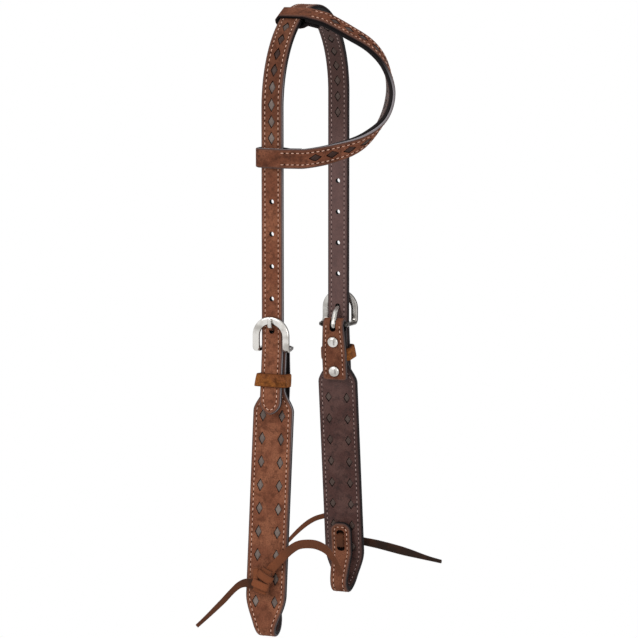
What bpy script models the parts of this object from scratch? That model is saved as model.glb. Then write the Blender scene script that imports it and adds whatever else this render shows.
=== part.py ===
"""Western headstall with a slip ear: two-ply leather straps, buck-stitch laces, buckles and ties.

Origin: the underside of the crown at the poll. +Z is up, +X is the horse's front and -Y its
right side, where the ear goes through the bow. Each leather piece is cut flat and then bent
along a ribbon of stations, so that two plies keep one gap all along a bend.
"""
import math

import bmesh
import bpy
from mathutils import Vector

# Leather stock and clearances
ply = 0.0023
cement = 0.0003
ease = 0.0003
cutter_spare = 0.0004
steady_length = 0.004
straight_share = 5
weld_distance = 0.00001
split_distance = 0.000001
flat_angle = 0.01

# Crown strap over the poll
crown_width = 0.017
poll_radius = 0.070
poll_bends = 24
bar_depth = 0.2555
crown_cut = 0.0036
hole_radius = 0.0019
hole_pitch = 0.025
used_hole_rise = 0.0148
tongue_slot_rise = 0.01365
tongue_slot_length = 0.0112

# Buck-stitch laces
lace_thickness = 0.0007
lace_neck = 0.0018
lace_stub = 0.003
diamond_width = 0.0046
diamond_length = 0.0076
inner_width_share = 0.8
crown_diamonds = 8
crown_diamond_pitch = 0.0126
crown_diamond_depth = 0.092
cheek_diamonds = 9
cheek_diamond_rise = 0.0278
cheek_column_offset = 0.0078
ear_diamond_pitch = 0.0133
ear_diamond_margin = 0.0006

# Slip ear loop
ear_width = 0.015
ear_cement = 0.0005
ear_rise = 0.0018
ear_side_ease = 0.002
ear_corner = 0.0016
ear_exit_radius = 0.0048
ear_wrap_bend = 9
ear_level = 0.107
ear_lean = math.radians(14)
ear_lead = 0.0025
ear_join = 0.013
ear_joint_share = 0.25
ear_steps = 4

# Places of the bow: shares of its reach to the front, of the poll's radius and of the lower wrap's depth
ear_reach = 0.085
ear_bow_shares = (
    (0.553, 0.443, 0.126),
    (0.771, 0.479, 0.220),
    (0.924, 0.536, 0.350),
    (1.000, 0.614, 0.533),
    (0.959, 0.729, 0.724),
    (0.800, 0.857, 0.874),
    (0.553, 0.960, 0.958),
)
ear_across_shares = (
    (0.05, -0.92, -0.36),
    (0.15, -0.93, -0.30),
    (0.32, -0.93, -0.18),
    (0.50, -0.86, 0.00),
    (0.52, -0.76, 0.30),
    (0.34, -0.48, 0.78),
    (0.10, -0.16, 0.97),
)

# Buckle
bar_radius = 0.0023
bar_half_length = 0.0125
frame_thickness = 0.003
frame_inner_width = 0.0194
frame_outer_width = 0.030
frame_height = 0.0255
frame_bend = 0.002
frame_heel = 0.0015
frame_back = 0.0035

# Tongue
tongue_width = 0.004
tongue_tip_width = 0.0028
tongue_thickness = 0.0019
tongue_knee_out = 0.0024
tongue_knee_rise = 0.0086
tongue_crest_rise = 0.0186
tongue_rise = 0.026
tongue_start = math.radians(60)
tongue_slot_width = 0.0046
fold_slot_width = 0.005
fold_slot_drop = 0.0052

# Cheek strap, measured down from the buckle's bar
splay = math.radians(6.6)
neck_width = 0.0175
cheek_width = 0.0325
flare_start = 0.031
flare_end = 0.049
cheek_length = 0.224
liner_drop = 0.0052
fold_flap_length = 0.0458
fold_flap_width = 0.0205
flap_round = 0.003

# Bit loop and its flap, measured up from the bottom of the fold
taper_rise = 0.033
loop_width = 0.014
loop_radius = 0.00575
flap_rise = 0.058
flap_width = 0.017
flap_turn_rise = 0.032
flap_top_round = 0.007
loop_bends = 7
fold_bends = 6
tie_low_rise = 0.0372
tie_high_rise = 0.0498

# Billet below the bar
billet_length = 0.051
billet_clear = 0.0012
billet_point = 0.007
billet_round_share = 0.8

# Screws and posts
screw_drops = (0.0136, 0.0380)
head_radius = 0.0045
head_thickness = 0.0016
barrel_radius = 0.0026
shank_radius = 0.0016
cap_edge = 0.0007
cap_height = 0.0018
barrel_floor = 0.0012
turned_steps = 12

# Keeper
keeper_drop = 0.0246
keeper_height = 0.0102
keeper_thickness = 0.002
keeper_play = 0.0018

# Ties
thong_width = 0.0062
thong_thickness = 0.0024
knot_width = 0.0175
knot_height = 0.0185
knot_depth = 0.0085
knot_base = 0.0012
tail_tip_share = 0.35
tail_root_share = 0.8
right_tails = {
    "front": (
        (0.0070, 0.0104, -0.1690),
        (0.0133, 0.0108, -0.1622),
        (0.0198, 0.0112, -0.1555),
        (0.0270, 0.0115, -0.1502),
        (0.0343, 0.0117, -0.1483),
        (0.0424, 0.0117, -0.1483),
        (0.0498, 0.0117, -0.1509),
        (0.0551, 0.0116, -0.1555),
        (0.0601, 0.0115, -0.1620),
        (0.0648, 0.0114, -0.1695),
    ),
    "back": (
        (-0.0085, 0.0104, -0.1826),
        (-0.0140, 0.0108, -0.1822),
        (-0.0196, 0.0112, -0.1845),
        (-0.0252, 0.0115, -0.1898),
        (-0.0316, 0.0116, -0.1971),
        (-0.0388, 0.0115, -0.2046),
        (-0.0460, 0.0113, -0.2119),
        (-0.0532, 0.0112, -0.2189),
    ),
}
left_tails = {
    "front": (
        (0.0090, 0.0104, -0.1850),
        (0.0170, 0.0108, -0.1862),
        (0.0244, 0.0112, -0.1873),
        (0.0350, 0.0115, -0.1893),
        (0.0457, 0.0116, -0.1914),
        (0.0564, 0.0116, -0.1936),
        (0.0678, 0.0115, -0.1960),
        (0.0799, 0.0112, -0.1980),
    ),
    "back": (
        (-0.0080, 0.0104, -0.1675),
        (-0.0145, 0.0108, -0.1648),
        (-0.0208, 0.0111, -0.1668),
        (-0.0277, 0.0112, -0.1693),
        (-0.0343, 0.0115, -0.1733),
        (-0.0408, 0.0116, -0.1786),
        (-0.0473, 0.0115, -0.1849),
        (-0.0542, 0.0113, -0.1923),
    ),
}

# Sizes that follow from the ones above
spare_holes = int((bar_depth - used_hole_rise - ear_level - ear_width) / hole_pitch)
cheek_diamond_drop = billet_length + billet_clear
cheek_diamond_pitch = (cheek_length - cheek_diamond_rise - cheek_diamond_drop) / (cheek_diamonds - 1)
stack = 2 * ply + cement
fold_radius = bar_radius + ease
post_base = fold_radius + ply + ease
billet_face = post_base + head_thickness + ease
frame_face = billet_face + stack + ease
bar_out = poll_radius - billet_face
lace_rise = ease + lace_thickness / 2
lace_proud = ease + lace_thickness
slit_length = lace_thickness + 2 * ease
slit_width = lace_neck + 2 * ease
loop_reach = loop_radius + ply + cement
loop_depth = cheek_length - ply - loop_reach
flap_face = fold_radius - cement - ply - lace_proud - ease - ply - cement
tongue_face = frame_face + frame_thickness + tongue_thickness + 2 * ease

outer_leather = ((0.195, 0.070, 0.038), 0.78, 0.0)
inner_leather = ((0.075, 0.038, 0.036), 0.45, 0.0)
lace_leather = ((0.155, 0.115, 0.090), 0.6, 0.0)
keeper_leather = ((0.260, 0.085, 0.022), 0.55, 0.0)
tie_leather = ((0.110, 0.048, 0.026), 0.6, 0.0)
bright_metal = ((0.62, 0.61, 0.58), 0.22, 1.0)


def empty_scene():
    """Remove what the scene holds."""
    for stray in list(bpy.data.objects):
        bpy.data.objects.remove(stray, do_unlink=True)


def new_collection(name):
    """A collection linked to the scene."""
    collection = bpy.data.collections.new(name)
    bpy.context.scene.collection.children.link(collection)
    return collection


def finish(name, mesh, look, tools=(), operation="DIFFERENCE"):
    """An object of the headstall with its own material, shaded smooth up to its edges."""
    colour, roughness, metallic = look
    material = bpy.data.materials.new(name)
    material.use_nodes = True
    shader = material.node_tree.nodes["Principled BSDF"]
    shader.inputs["Base Color"].default_value = (*colour, 1)
    shader.inputs["Roughness"].default_value = roughness
    shader.inputs["Metallic"].default_value = metallic
    mesh.materials.clear()
    mesh.materials.append(material)
    mesh.shade_smooth()
    mesh.set_sharp_from_angle(angle=math.radians(40))
    made = bpy.data.objects.new(name, mesh)
    headstall.objects.link(made)
    for tool in tools:
        change = made.modifiers.new(tool.name, "BOOLEAN")
        change.operation = operation
        change.solver = "EXACT"
        change.object = tool
    return made


def cutting_tool(name, mesh):
    """A body that only shapes others."""
    made = bpy.data.objects.new(name, mesh)
    cutters.objects.link(made)
    made.hide_render = True
    made.display_type = "WIRE"
    return made


def pivot(name, place, tilt, parent):
    """An empty on a joint's axis."""
    made = bpy.data.objects.new(name, None)
    headstall.objects.link(made)
    made.location = place
    made.rotation_euler.x = tilt
    made.parent = parent
    return made


def arc(centre, radius, start, sweep, count):
    """Corners of the open polygon that lies against an arc from outside, with its ends left off."""
    step = sweep / count
    reach = radius / math.cos(step / 2)
    corners = []
    for number in range(count):
        angle = start + (number + 0.5) * step
        corners.append((centre[0] + reach * math.cos(angle), centre[1] + reach * math.sin(angle)))
    return corners


def turn(before, corner, after, radius, count):
    """Corners of an arc that rounds one corner of a polygon."""
    point = Vector(corner)
    back = (Vector(before) - point).normalized()
    ahead = (Vector(after) - point).normalized()
    half = back.angle(ahead) / 2
    centre = point + (back + ahead).normalized() * (radius / math.sin(half))
    first = point + back * (radius / math.tan(half)) - centre
    sweep = math.pi - 2 * half
    if back.cross(ahead) > 0:
        sweep = -sweep
    return arc(centre, radius, math.atan2(first.y, first.x), sweep, count)


class Ribbon:
    """Stations that flat leather is bent along: s runs along them, w across, t out of the face."""

    def __init__(self, points, across):
        self.points = [Vector(point) for point in points]
        self.marks = [0.0]
        normals = []
        for number in range(len(points) - 1):
            step = self.points[number + 1] - self.points[number]
            wide = Vector(across[number]) + Vector(across[number + 1])
            normals.append(wide.cross(step).normalized())
            self.marks.append(self.marks[-1] + step.length)
        self.lifts = [normals[0]]
        for before, after in zip(normals, normals[1:]):
            self.lifts.append((before + after) / (1 + before.dot(after)))
        self.lifts.append(normals[-1])
        self.across = []
        for wide, lift in zip(across, self.lifts):
            flat = Vector(wide) - lift * (Vector(wide).dot(lift) / lift.length_squared)
            self.across.append(flat.normalized())

    def place(self, s, w, t):
        """The place in space of a flat point."""
        number = 0
        while number < len(self.points) - 2 and s > self.marks[number + 1]:
            number += 1
        span = self.marks[number + 1] - self.marks[number]
        share = (s - self.marks[number]) / span
        start = self.points[number] + self.across[number] * w + self.lifts[number] * t
        end = self.points[number + 1] + self.across[number + 1] * w + self.lifts[number + 1] * t
        return start.lerp(end, share)

    def mark(self, point):
        """The s of the station line's nearest place to a point."""
        point = Vector(point)
        best = None
        for number in range(len(self.points) - 1):
            start = self.points[number]
            step = self.points[number + 1] - start
            share = min(1, max(0, (point - start).dot(step) / step.length_squared))
            miss = (point - start - step * share).length
            if best is None or miss < best[0]:
                best = (miss, self.marks[number] + share * step.length)
        return best[1]


def side_ribbon(path):
    """A ribbon along a path of (out, up) places, with its width along X.

    A long straight stretch gets a station near each end, so that the openings in it stay square.
    """
    points = [Vector((0, -out, up)) for out, up in path]
    stations = [points[0]]
    for start, end in zip(points, points[1:]):
        if (end - start).length > straight_share * steady_length:
            step = (end - start).normalized() * steady_length
            stations += [start + step, end - step]
        stations.append(end)
    return Ribbon(stations, [(1, 0, 0)] * len(stations))


def flat_mesh(name, outlines, low, high):
    """Flat bodies from low to high in thickness, cut to closed outlines of (w, s) points."""
    curve = bpy.data.curves.new(name, "CURVE")
    curve.dimensions = "2D"
    curve.fill_mode = "BOTH"
    curve.extrude = (high - low) / 2
    for points in outlines:
        spline = curve.splines.new("POLY")
        spline.points.add(len(points) - 1)
        for slot, (w, s) in zip(spline.points, points):
            slot.co = (w, s, 0, 1)
        spline.use_cyclic_u = True
    flat = bpy.data.objects.new(name, curve)
    headstall.objects.link(flat)
    bpy.context.view_layer.update()
    mesh = bpy.data.meshes.new_from_object(flat.evaluated_get(bpy.context.evaluated_depsgraph_get()))
    bpy.data.objects.remove(flat)
    body = bmesh.new()
    body.from_mesh(mesh)
    bmesh.ops.remove_doubles(body, verts=body.verts, dist=weld_distance)
    bmesh.ops.dissolve_limit(body, angle_limit=flat_angle, verts=body.verts, edges=body.edges)
    bmesh.ops.translate(body, verts=body.verts, vec=(0, 0, (low + high) / 2))
    body.to_mesh(mesh)
    body.free()
    mesh.name = name
    return mesh


def split(body, place, direction):
    """Cut every face of a mesh along a plane, and keep both sides."""
    geometry = body.verts[:] + body.edges[:] + body.faces[:]
    bmesh.ops.bisect_plane(body, geom=geometry, dist=split_distance, plane_co=place, plane_no=direction)


def bend(mesh, ribbon, side=-1, halved=False):
    """Bend a flat mesh along a ribbon, on the right side or mirrored to the left side."""
    body = bmesh.new()
    body.from_mesh(mesh)
    for mark in ribbon.marks[1:-1]:
        split(body, (0, mark, 0), (0, 1, 0))
    if halved:
        split(body, (0, 0, 0), (1, 0, 0))
        bmesh.ops.triangulate(body, faces=body.faces, quad_method="FIXED")
    for corner in body.verts:
        corner.co = ribbon.place(corner.co.y, corner.co.x, corner.co.z)
        corner.co.y *= -side
    if side > 0:
        bmesh.ops.reverse_faces(body, faces=body.faces)
    body.to_mesh(mesh)
    body.free()
    return mesh


def symmetric(profile):
    """A closed outline from half-widths along a strap."""
    right = [(half, s) for s, half in profile]
    left = [(-half, s) for s, half in reversed(profile) if half > 0]
    return right + left


def rounded_end(s, half, radius, direction, count=3):
    """Half-width points of a strap end with rounded corners, from the strap to its end."""
    points = []
    for number in range(count + 1):
        angle = number / count * math.pi / 2
        out = half - radius + radius * math.cos(angle)
        points.append((s - direction * radius * (1 - math.sin(angle)), out))
    return points


def box_opening(w, s, width, length):
    """A rectangular opening in a strap."""
    half_w = width / 2
    half_s = length / 2
    return [(w - half_w, s - half_s), (w + half_w, s - half_s), (w + half_w, s + half_s), (w - half_w, s + half_s)]


def round_opening(s, radius, count=12):
    """A punched hole on the strap's middle line."""
    points = []
    for number in range(count):
        angle = 2 * math.pi * (number + 0.5) / count
        points.append((radius * math.cos(angle), s + radius * math.sin(angle)))
    return points


def long_opening(s, width, length, count=4):
    """An opening with round ends, along the strap."""
    radius = width / 2
    straight = length / 2 - radius
    points = []
    for end, start in ((straight, 0), (-straight, math.pi)):
        for number in range(count + 1):
            angle = start + math.pi * number / count
            points.append((radius * math.cos(angle), s + end + radius * math.sin(angle)))
    return points


def slits(marks, offset):
    """The pair of lace slits at both ends of each diamond."""
    openings = []
    for s in marks:
        for end in (s - diamond_length / 2, s + diamond_length / 2):
            openings.append(box_opening(offset, end, slit_width, slit_length))
    return openings


def loft(sections):
    """A closed body through rings of points, with its ends capped."""
    body = bmesh.new()
    rings = []
    for section in sections:
        rings.append([body.verts.new(point) for point in section])
    for before, after in zip(rings, rings[1:]):
        for number in range(len(before)):
            following = (number + 1) % len(before)
            body.faces.new((before[number], before[following], after[following], after[number]))
    body.faces.new(reversed(rings[0]))
    body.faces.new(rings[-1])
    if body.calc_volume(signed=True) < 0:
        bmesh.ops.reverse_faces(body, faces=body.faces)
    mesh = bpy.data.meshes.new("loft")
    body.to_mesh(mesh)
    body.free()
    return mesh


def lace(name, ribbon, marks, offset, outside, inside, side=-1):
    """A lace that shows a diamond at each mark and runs through the slits to the inner face."""
    top = outside + lace_rise
    bottom = inside - lace_rise
    reach = diamond_length / 2
    neck = lace_neck / 2
    wide = diamond_width / 2
    stops = [(marks[0] - reach - lace_stub, bottom, neck)]
    for number, s in enumerate(marks):
        stops += [(s - reach, bottom, neck), (s - reach, top, neck), (s, top, wide)]
        stops += [(s + reach, top, neck), (s + reach, bottom, neck)]
        if number < len(marks) - 1:
            stops.append(((s + marks[number + 1]) / 2, bottom, wide * inner_width_share))
    stops.append((marks[-1] + reach + lace_stub, bottom, neck))
    lifts = []
    for before, after in zip(stops, stops[1:]):
        along = Vector((after[0] - before[0], after[1] - before[1])).normalized()
        lifts.append(Vector((-along.y, along.x)))
    sections = []
    for number, (s, t, half) in enumerate(stops):
        before = lifts[max(0, number - 1)]
        after = lifts[min(number, len(lifts) - 1)]
        shift = (before + after) / (1 + before.dot(after)) * lace_thickness / 2
        high = (s + shift.x, t + shift.y)
        low = (s - shift.x, t - shift.y)
        section = []
        for (along, out), w in ((low, -half), (low, half), (high, half), (high, -half)):
            section.append((offset + w, along, out))
        sections.append(section)
    return finish(name, bend(loft(sections), ribbon, side), lace_leather)


def openings_tool(name, openings, ribbon, low, high, side=-1, halved=False):
    """A cutter through both plies of a strap, bent with them."""
    mesh = flat_mesh(name, openings, low - cutter_spare, high + cutter_spare)
    return cutting_tool(name, bend(mesh, ribbon, side, halved))


def evenly(first, pitch, count):
    """Marks at one pitch."""
    return [first + pitch * number for number in range(count)]


def crown_parts():
    """The crown strap, its liner and a lace up each leg."""
    leg_end = crown_cut - bar_depth
    turns = arc((0, -poll_radius), poll_radius, 0, math.pi, poll_bends)
    path = [(poll_radius, leg_end)] + turns + [(-poll_radius, leg_end)]
    ribbon = side_ribbon(path)
    length = ribbon.marks[-1]
    right_marks = evenly(-crown_diamond_depth - leg_end, crown_diamond_pitch, crown_diamonds)
    left_marks = [length - mark for mark in reversed(right_marks)]
    outline = symmetric([(0, crown_width / 2), (length, crown_width / 2)])
    openings = slits(right_marks + left_marks, 0)
    for number in range(spare_holes):
        rise = used_hole_rise - crown_cut + hole_pitch * (number + 1)
        openings.append(round_opening(rise, hole_radius))
        openings.append(round_opening(length - rise, hole_radius))
    slot = tongue_slot_rise - crown_cut
    openings.append(long_opening(slot, tongue_slot_width, tongue_slot_length))
    openings.append(long_opening(length - slot, tongue_slot_width, tongue_slot_length))
    cutter = openings_tool("crown_openings", openings, ribbon, 0, stack)
    strap = flat_mesh("crown_strap", [outline], ply + cement, stack)
    finish("crown_strap", bend(strap, ribbon), outer_leather, [cutter])
    liner = flat_mesh("crown_liner", [outline], 0, ply)
    finish("crown_liner", bend(liner, ribbon), inner_leather, [cutter])
    lace("right_crown_lace", ribbon, right_marks, 0, stack, 0)
    lace("left_crown_lace", ribbon, left_marks, 0, stack, 0)


def wrap_path(outer_gap):
    """The ear strap's line around the crown, as (x, out) places from its free end to the bow.

    The strap passes over the crown's outer face at the given gap, turns round its back edge and
    comes back under it. Its free end then lies under the liner, at the start of the bow.
    """
    half_cement = ear_cement / 2
    line = stack + outer_gap - half_cement
    under = half_cement - ear_rise
    edge = half_cement - crown_width / 2 - ear_side_ease
    along = Vector((math.cos(ear_lean), -math.sin(ear_lean)))
    down = Vector((-math.sin(ear_lean), -math.cos(ear_lean))) * (ear_cement + ply + ease)
    start = Vector((crown_width / 2 + ear_lead, line))
    tail = start + along * ear_join + down
    joint = start + along * (ear_join * ear_joint_share) + down
    inner = (crown_width / 2, under)
    bow = start + along * (ear_join + ear_corner)
    path = [tuple(tail), tuple(joint)]
    path += turn(tuple(joint), inner, (edge, under), ear_corner, 2)
    path += turn(inner, (edge, under), (edge, line), ear_corner, 3)
    path += turn((edge, under), (edge, line), tuple(start), ear_corner, 3)
    path += turn((edge, line), tuple(start), tuple(bow), ear_exit_radius, 2)
    path.append(tuple(bow))
    return path


def smooth_line(points, steps):
    """Places on a Catmull-Rom line through points, from the second to the last but one."""
    places = []
    for number in range(1, len(points) - 2):
        a, b, c, d = [Vector(point) for point in points[number - 1:number + 3]]
        for step in range(steps):
            f = step / steps
            places.append(
                b + (c - a) * (f / 2)
                + (2 * a - 5 * b + 4 * c - d) * (f ** 2 / 2)
                + (3 * b - a - 3 * c + d) * (f ** 3 / 2)
            )
    places.append(Vector(points[-2]))
    return places


def ear_parts():
    """The slip ear: its strap wraps the crown and its right leg, with a liner in the bow between."""
    angle = math.pi / poll_bends * ear_wrap_bend
    top_out = Vector((0, -math.cos(angle), math.sin(angle)))
    side_out = Vector((0, -1, 0))
    across_top = Vector((1, 0, 0)).cross(top_out)
    across_side = Vector((0, 0, 1))
    top_base = Vector((0, 0, -poll_radius)) + top_out * poll_radius
    side_base = Vector((0, -poll_radius, -ear_level))
    top = [top_base + Vector((x, 0, 0)) + top_out * out for x, out in wrap_path(ease)]
    low = [side_base + Vector((x, 0, 0)) + side_out * out for x, out in reversed(wrap_path(ear_rise))]
    places = [(ear_reach * x, -poll_radius * out, -ear_level * down) for x, out, down in ear_bow_shares]
    bow = smooth_line([top[-2], top[-1], *places, low[0], low[1]], ear_steps)
    widths = smooth_line([across_top, across_top, *ear_across_shares, across_side, across_side], ear_steps)
    points = top + bow[1:-1] + low
    across = [across_top] * len(top) + widths[1:-1] + [across_side] * len(low)
    ribbon = Ribbon(points, across)
    outside = ear_cement / 2
    half = ear_width / 2
    length = ribbon.marks[-1]
    liner_start = ribbon.mark(top[-1]) - ear_join
    liner_end = ribbon.mark(low[0]) + ear_join
    clear = ear_join + ear_diamond_margin + lace_stub + diamond_length / 2
    first = liner_start + clear
    last = liner_end - clear
    count = int((last - first) / ear_diamond_pitch) + 1
    marks = evenly((first + last - (count - 1) * ear_diamond_pitch) / 2, ear_diamond_pitch, count)
    cutter = openings_tool("ear_openings", slits(marks, 0), ribbon, -outside - ply, outside + ply, halved=True)
    strap = flat_mesh("ear_strap", [symmetric([(0, half), (length, half)])], outside, outside + ply)
    liner_outline = symmetric([(liner_start, half), (liner_end, half)])
    liner = flat_mesh("ear_liner", [liner_outline], -outside - ply, -outside)
    slip = pivot("ear_slip", (0, (ear_level - poll_radius) / math.tan(angle), -ear_level), 0, None)
    pieces = [
        finish("ear_strap", bend(strap, ribbon, halved=True), outer_leather, [cutter]),
        finish("ear_liner", bend(liner, ribbon, halved=True), inner_leather, [cutter]),
        lace("ear_lace", ribbon, marks, 0, outside + ply, -outside - ply),
        cutter,
    ]
    for piece in pieces:
        piece.parent = slip
        piece.location = -slip.location


def cheek_ribbon():
    """The cheek's line from the bit flap's end, round the bit loop, up and over the bar."""
    centre = (fold_radius - loop_reach, -loop_depth)
    flap_end = (flap_face, flap_rise - cheek_length)
    corner = Vector((flap_face, flap_turn_rise - cheek_length))
    away = Vector(centre) - corner
    lean = math.atan2(-away.x, -away.y) + math.asin(loop_reach / away.length)
    ahead = corner + Vector((-math.sin(lean), -math.cos(lean))) * away.length
    path = [flap_end]
    path += turn(flap_end, tuple(corner), tuple(ahead), loop_reach, 2)
    path += arc(centre, loop_reach, math.pi - lean, math.pi + lean, loop_bends)
    path += arc((0, 0), fold_radius, 0, math.pi, fold_bends)
    path.append((-fold_radius, -fold_flap_length))
    return side_ribbon(path)


def swell(start, end, count=6):
    """Half-width points of a smooth change between two (s, half-width) places."""
    points = []
    for number in range(count + 1):
        share = number / count
        bulge = share * share * (3 - 2 * share)
        points.append((start[0] + (end[0] - start[0]) * share, start[1] + (end[1] - start[1]) * bulge))
    return points


def cheek_profile(ribbon):
    """Half-widths of the cheek, from its bit flap to its flap behind the bar."""
    front = fold_radius
    end = ribbon.marks[-1]
    profile = list(reversed(rounded_end(0, flap_width / 2, flap_top_round, -1, 5)))
    profile.append((ribbon.mark((0, -flap_face, flap_turn_rise - cheek_length)), flap_width / 2))
    profile.append((ribbon.mark((0, loop_reach * 2 - front, -loop_depth)), loop_width / 2))
    loop_end = (ribbon.mark((0, loop_reach - front, -cheek_length)), loop_width / 2)
    taper_end = (ribbon.mark((0, -front, taper_rise - cheek_length)), cheek_width / 2)
    profile += swell(loop_end, taper_end)
    flare_low = (ribbon.mark((0, -front, -flare_end)), cheek_width / 2)
    flare_high = (ribbon.mark((0, -front, -flare_start)), neck_width / 2)
    profile += swell(flare_low, flare_high)
    profile.append((ribbon.mark((0, front, 0)), neck_width / 2))
    profile += rounded_end(end, fold_flap_width / 2, flap_round, 1)
    return profile


def cheek_openings(ribbon, columns):
    """Lace slits, tie slots and screw holes through both plies of the cheek."""
    openings = []
    for offset, marks in columns:
        openings += slits(marks, offset)
    for rise in (tie_low_rise, tie_high_rise):
        for out in (fold_radius, flap_face):
            s = ribbon.mark((0, -out, rise - cheek_length))
            openings.append(box_opening(0, s, thong_width + 2 * ease, thong_thickness + 2 * ease))
    for drop in screw_drops:
        openings.append(round_opening(ribbon.mark((0, -fold_radius, -drop)), barrel_radius + ease))
    return openings


def fold_openings(ribbon):
    """The tongue's slot over the bar, and the screw holes in the flap behind it."""
    front = ribbon.mark((0, -fold_radius, -fold_slot_drop))
    back = ribbon.mark((0, fold_radius, -fold_slot_drop))
    openings = [long_opening((front + back) / 2, fold_slot_width, back - front)]
    for drop in screw_drops:
        openings.append(round_opening(ribbon.mark((0, fold_radius, -drop)), barrel_radius + ease))
    return openings


def cheek_leather(name, side):
    """A cheek strap folded over the bar and round the bit loop, its liner and its two laces."""
    ribbon = cheek_ribbon()
    lowest = ribbon.mark((0, -fold_radius, -cheek_diamond_drop)) - cheek_diamond_pitch * (cheek_diamonds - 1)
    marks = evenly(lowest, cheek_diamond_pitch, cheek_diamonds)
    columns = [(cheek_column_offset, marks), (-cheek_column_offset, marks)]
    profile = cheek_profile(ribbon)
    under = -cement - ply
    cutter = openings_tool(name + "_openings", cheek_openings(ribbon, columns), ribbon, under, ply, side)
    fold_cutter = openings_tool(name + "_fold_openings", fold_openings(ribbon), ribbon, 0, ply, side)
    strap = flat_mesh(name + "_strap", [symmetric(profile)], 0, ply)
    liner_end = ribbon.mark((0, -fold_radius, -liner_drop))
    liner_profile = [point for point in profile if point[0] < liner_end]
    liner_profile.append((liner_end, neck_width / 2))
    liner = flat_mesh(name + "_liner", [symmetric(liner_profile)], under, -cement)
    return [
        cutter,
        fold_cutter,
        finish(name + "_strap", bend(strap, ribbon, side), outer_leather, [cutter, fold_cutter]),
        finish(name + "_liner", bend(liner, ribbon, side), inner_leather, [cutter]),
        lace(name + "_front_lace", ribbon, marks, cheek_column_offset, ply, under, side),
        lace(name + "_back_lace", ribbon, marks, -cheek_column_offset, ply, under, side),
    ]


def billet_parts(name, side):
    """The crown's end below the bar, tucked through the keeper: a strap and its liner."""
    ribbon = side_ribbon([(billet_face, -billet_length), (billet_face, 0)])
    profile = []
    for number in range(7):
        angle = number / 6 * math.pi / 2
        half = crown_width / 2 * math.sin(angle) ** billet_round_share
        profile.append((billet_point * (1 - math.cos(angle)), half))
    profile.append((billet_length, crown_width / 2))
    strap = flat_mesh(name + "_billet", [symmetric(profile)], ply + cement, stack)
    liner = flat_mesh(name + "_billet_liner", [symmetric(profile)], 0, ply)
    return [
        finish(name + "_billet", bend(strap, ribbon, side), outer_leather),
        finish(name + "_billet_liner", bend(liner, ribbon, side), inner_leather),
    ]


def turned(name, profile, look, drop, side):
    """A piece turned about the outward axis, from (radius, out) points down its outer side."""
    mesh = bpy.data.meshes.new(name)
    points = [(radius, 0, out) for radius, out in profile]
    edges = [(number, number + 1) for number in range(len(points) - 1)]
    mesh.from_pydata(points, edges, [])
    made = finish(name, mesh, look)
    spin = made.modifiers.new("turn", "SCREW")
    spin.steps = turned_steps
    spin.render_steps = turned_steps
    spin.use_merge_vertices = True
    spin.merge_threshold = weld_distance
    made.location = (0, 0, -drop)
    made.rotation_euler.x = -side * math.pi / 2
    return made


def screw_parts(name, drop, side):
    """A two-piece screw: the post's head lies under the billet, the cap on the inner side."""
    mouth = ease * 2 - fold_radius - ply
    floor = post_base - barrel_floor
    post = [
        (0, post_base + head_thickness),
        (head_radius, post_base + head_thickness),
        (head_radius, post_base),
        (barrel_radius, post_base),
        (barrel_radius, mouth),
        (shank_radius + ease, mouth),
        (shank_radius + ease, floor),
        (0, floor),
    ]
    seat = -fold_radius - ply - ease
    cap = [
        (0, floor - 2 * ease),
        (shank_radius, floor - 2 * ease),
        (shank_radius, seat),
        (head_radius, seat),
    ]
    for number in range(5):
        angle = number / 4 * math.pi / 2
        cap.append((head_radius * math.cos(angle), seat - cap_edge - cap_height * math.sin(angle)))
    cap[-1] = (0, seat - cap_edge - cap_height)
    return [
        turned(name + "_post", post, bright_metal, drop, side),
        turned(name + "_screw", cap, bright_metal, drop, side),
    ]


def rounded_box(half_width, low, high, radius, count=4):
    """A closed outline of a box with round corners, in (x, out)."""
    points = []
    for corner in range(4):
        x = (half_width - radius) * (1 if corner in (0, 3) else -1)
        out = high - radius if corner < 2 else low + radius
        for number in range(count + 1):
            angle = math.pi / 2 * (corner + number / count)
            points.append((x + radius * math.cos(angle), out + radius * math.sin(angle)))
    return points


def keeper_part(name, side):
    """The leather loop that slides on the cheek's neck and holds the billet."""
    half = neck_width / 2 + keeper_play
    wide = half + keeper_thickness
    inner = rounded_box(half, -ease, frame_face, keeper_thickness / 2)
    outer = rounded_box(wide, ease - fold_radius, frame_face + keeper_thickness, keeper_thickness)
    mesh = flat_mesh(name, [outer, inner], -keeper_height / 2, keeper_height / 2)
    body = bmesh.new()
    body.from_mesh(mesh)
    bmesh.ops.scale(body, verts=body.verts, vec=(1, side, 1))
    if side < 0:
        bmesh.ops.reverse_faces(body, faces=body.faces)
    body.to_mesh(mesh)
    body.free()
    made = finish(name, mesh, keeper_leather)
    made.location = (0, 0, -keeper_drop)
    return made


def half_circle(radius, top, count):
    """Points of an upper half circle about the middle line at a height, in (w, s)."""
    points = []
    for number in range(count + 1):
        angle = math.pi * number / count
        points.append((radius * math.cos(angle), top + radius * math.sin(angle)))
    return points


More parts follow.
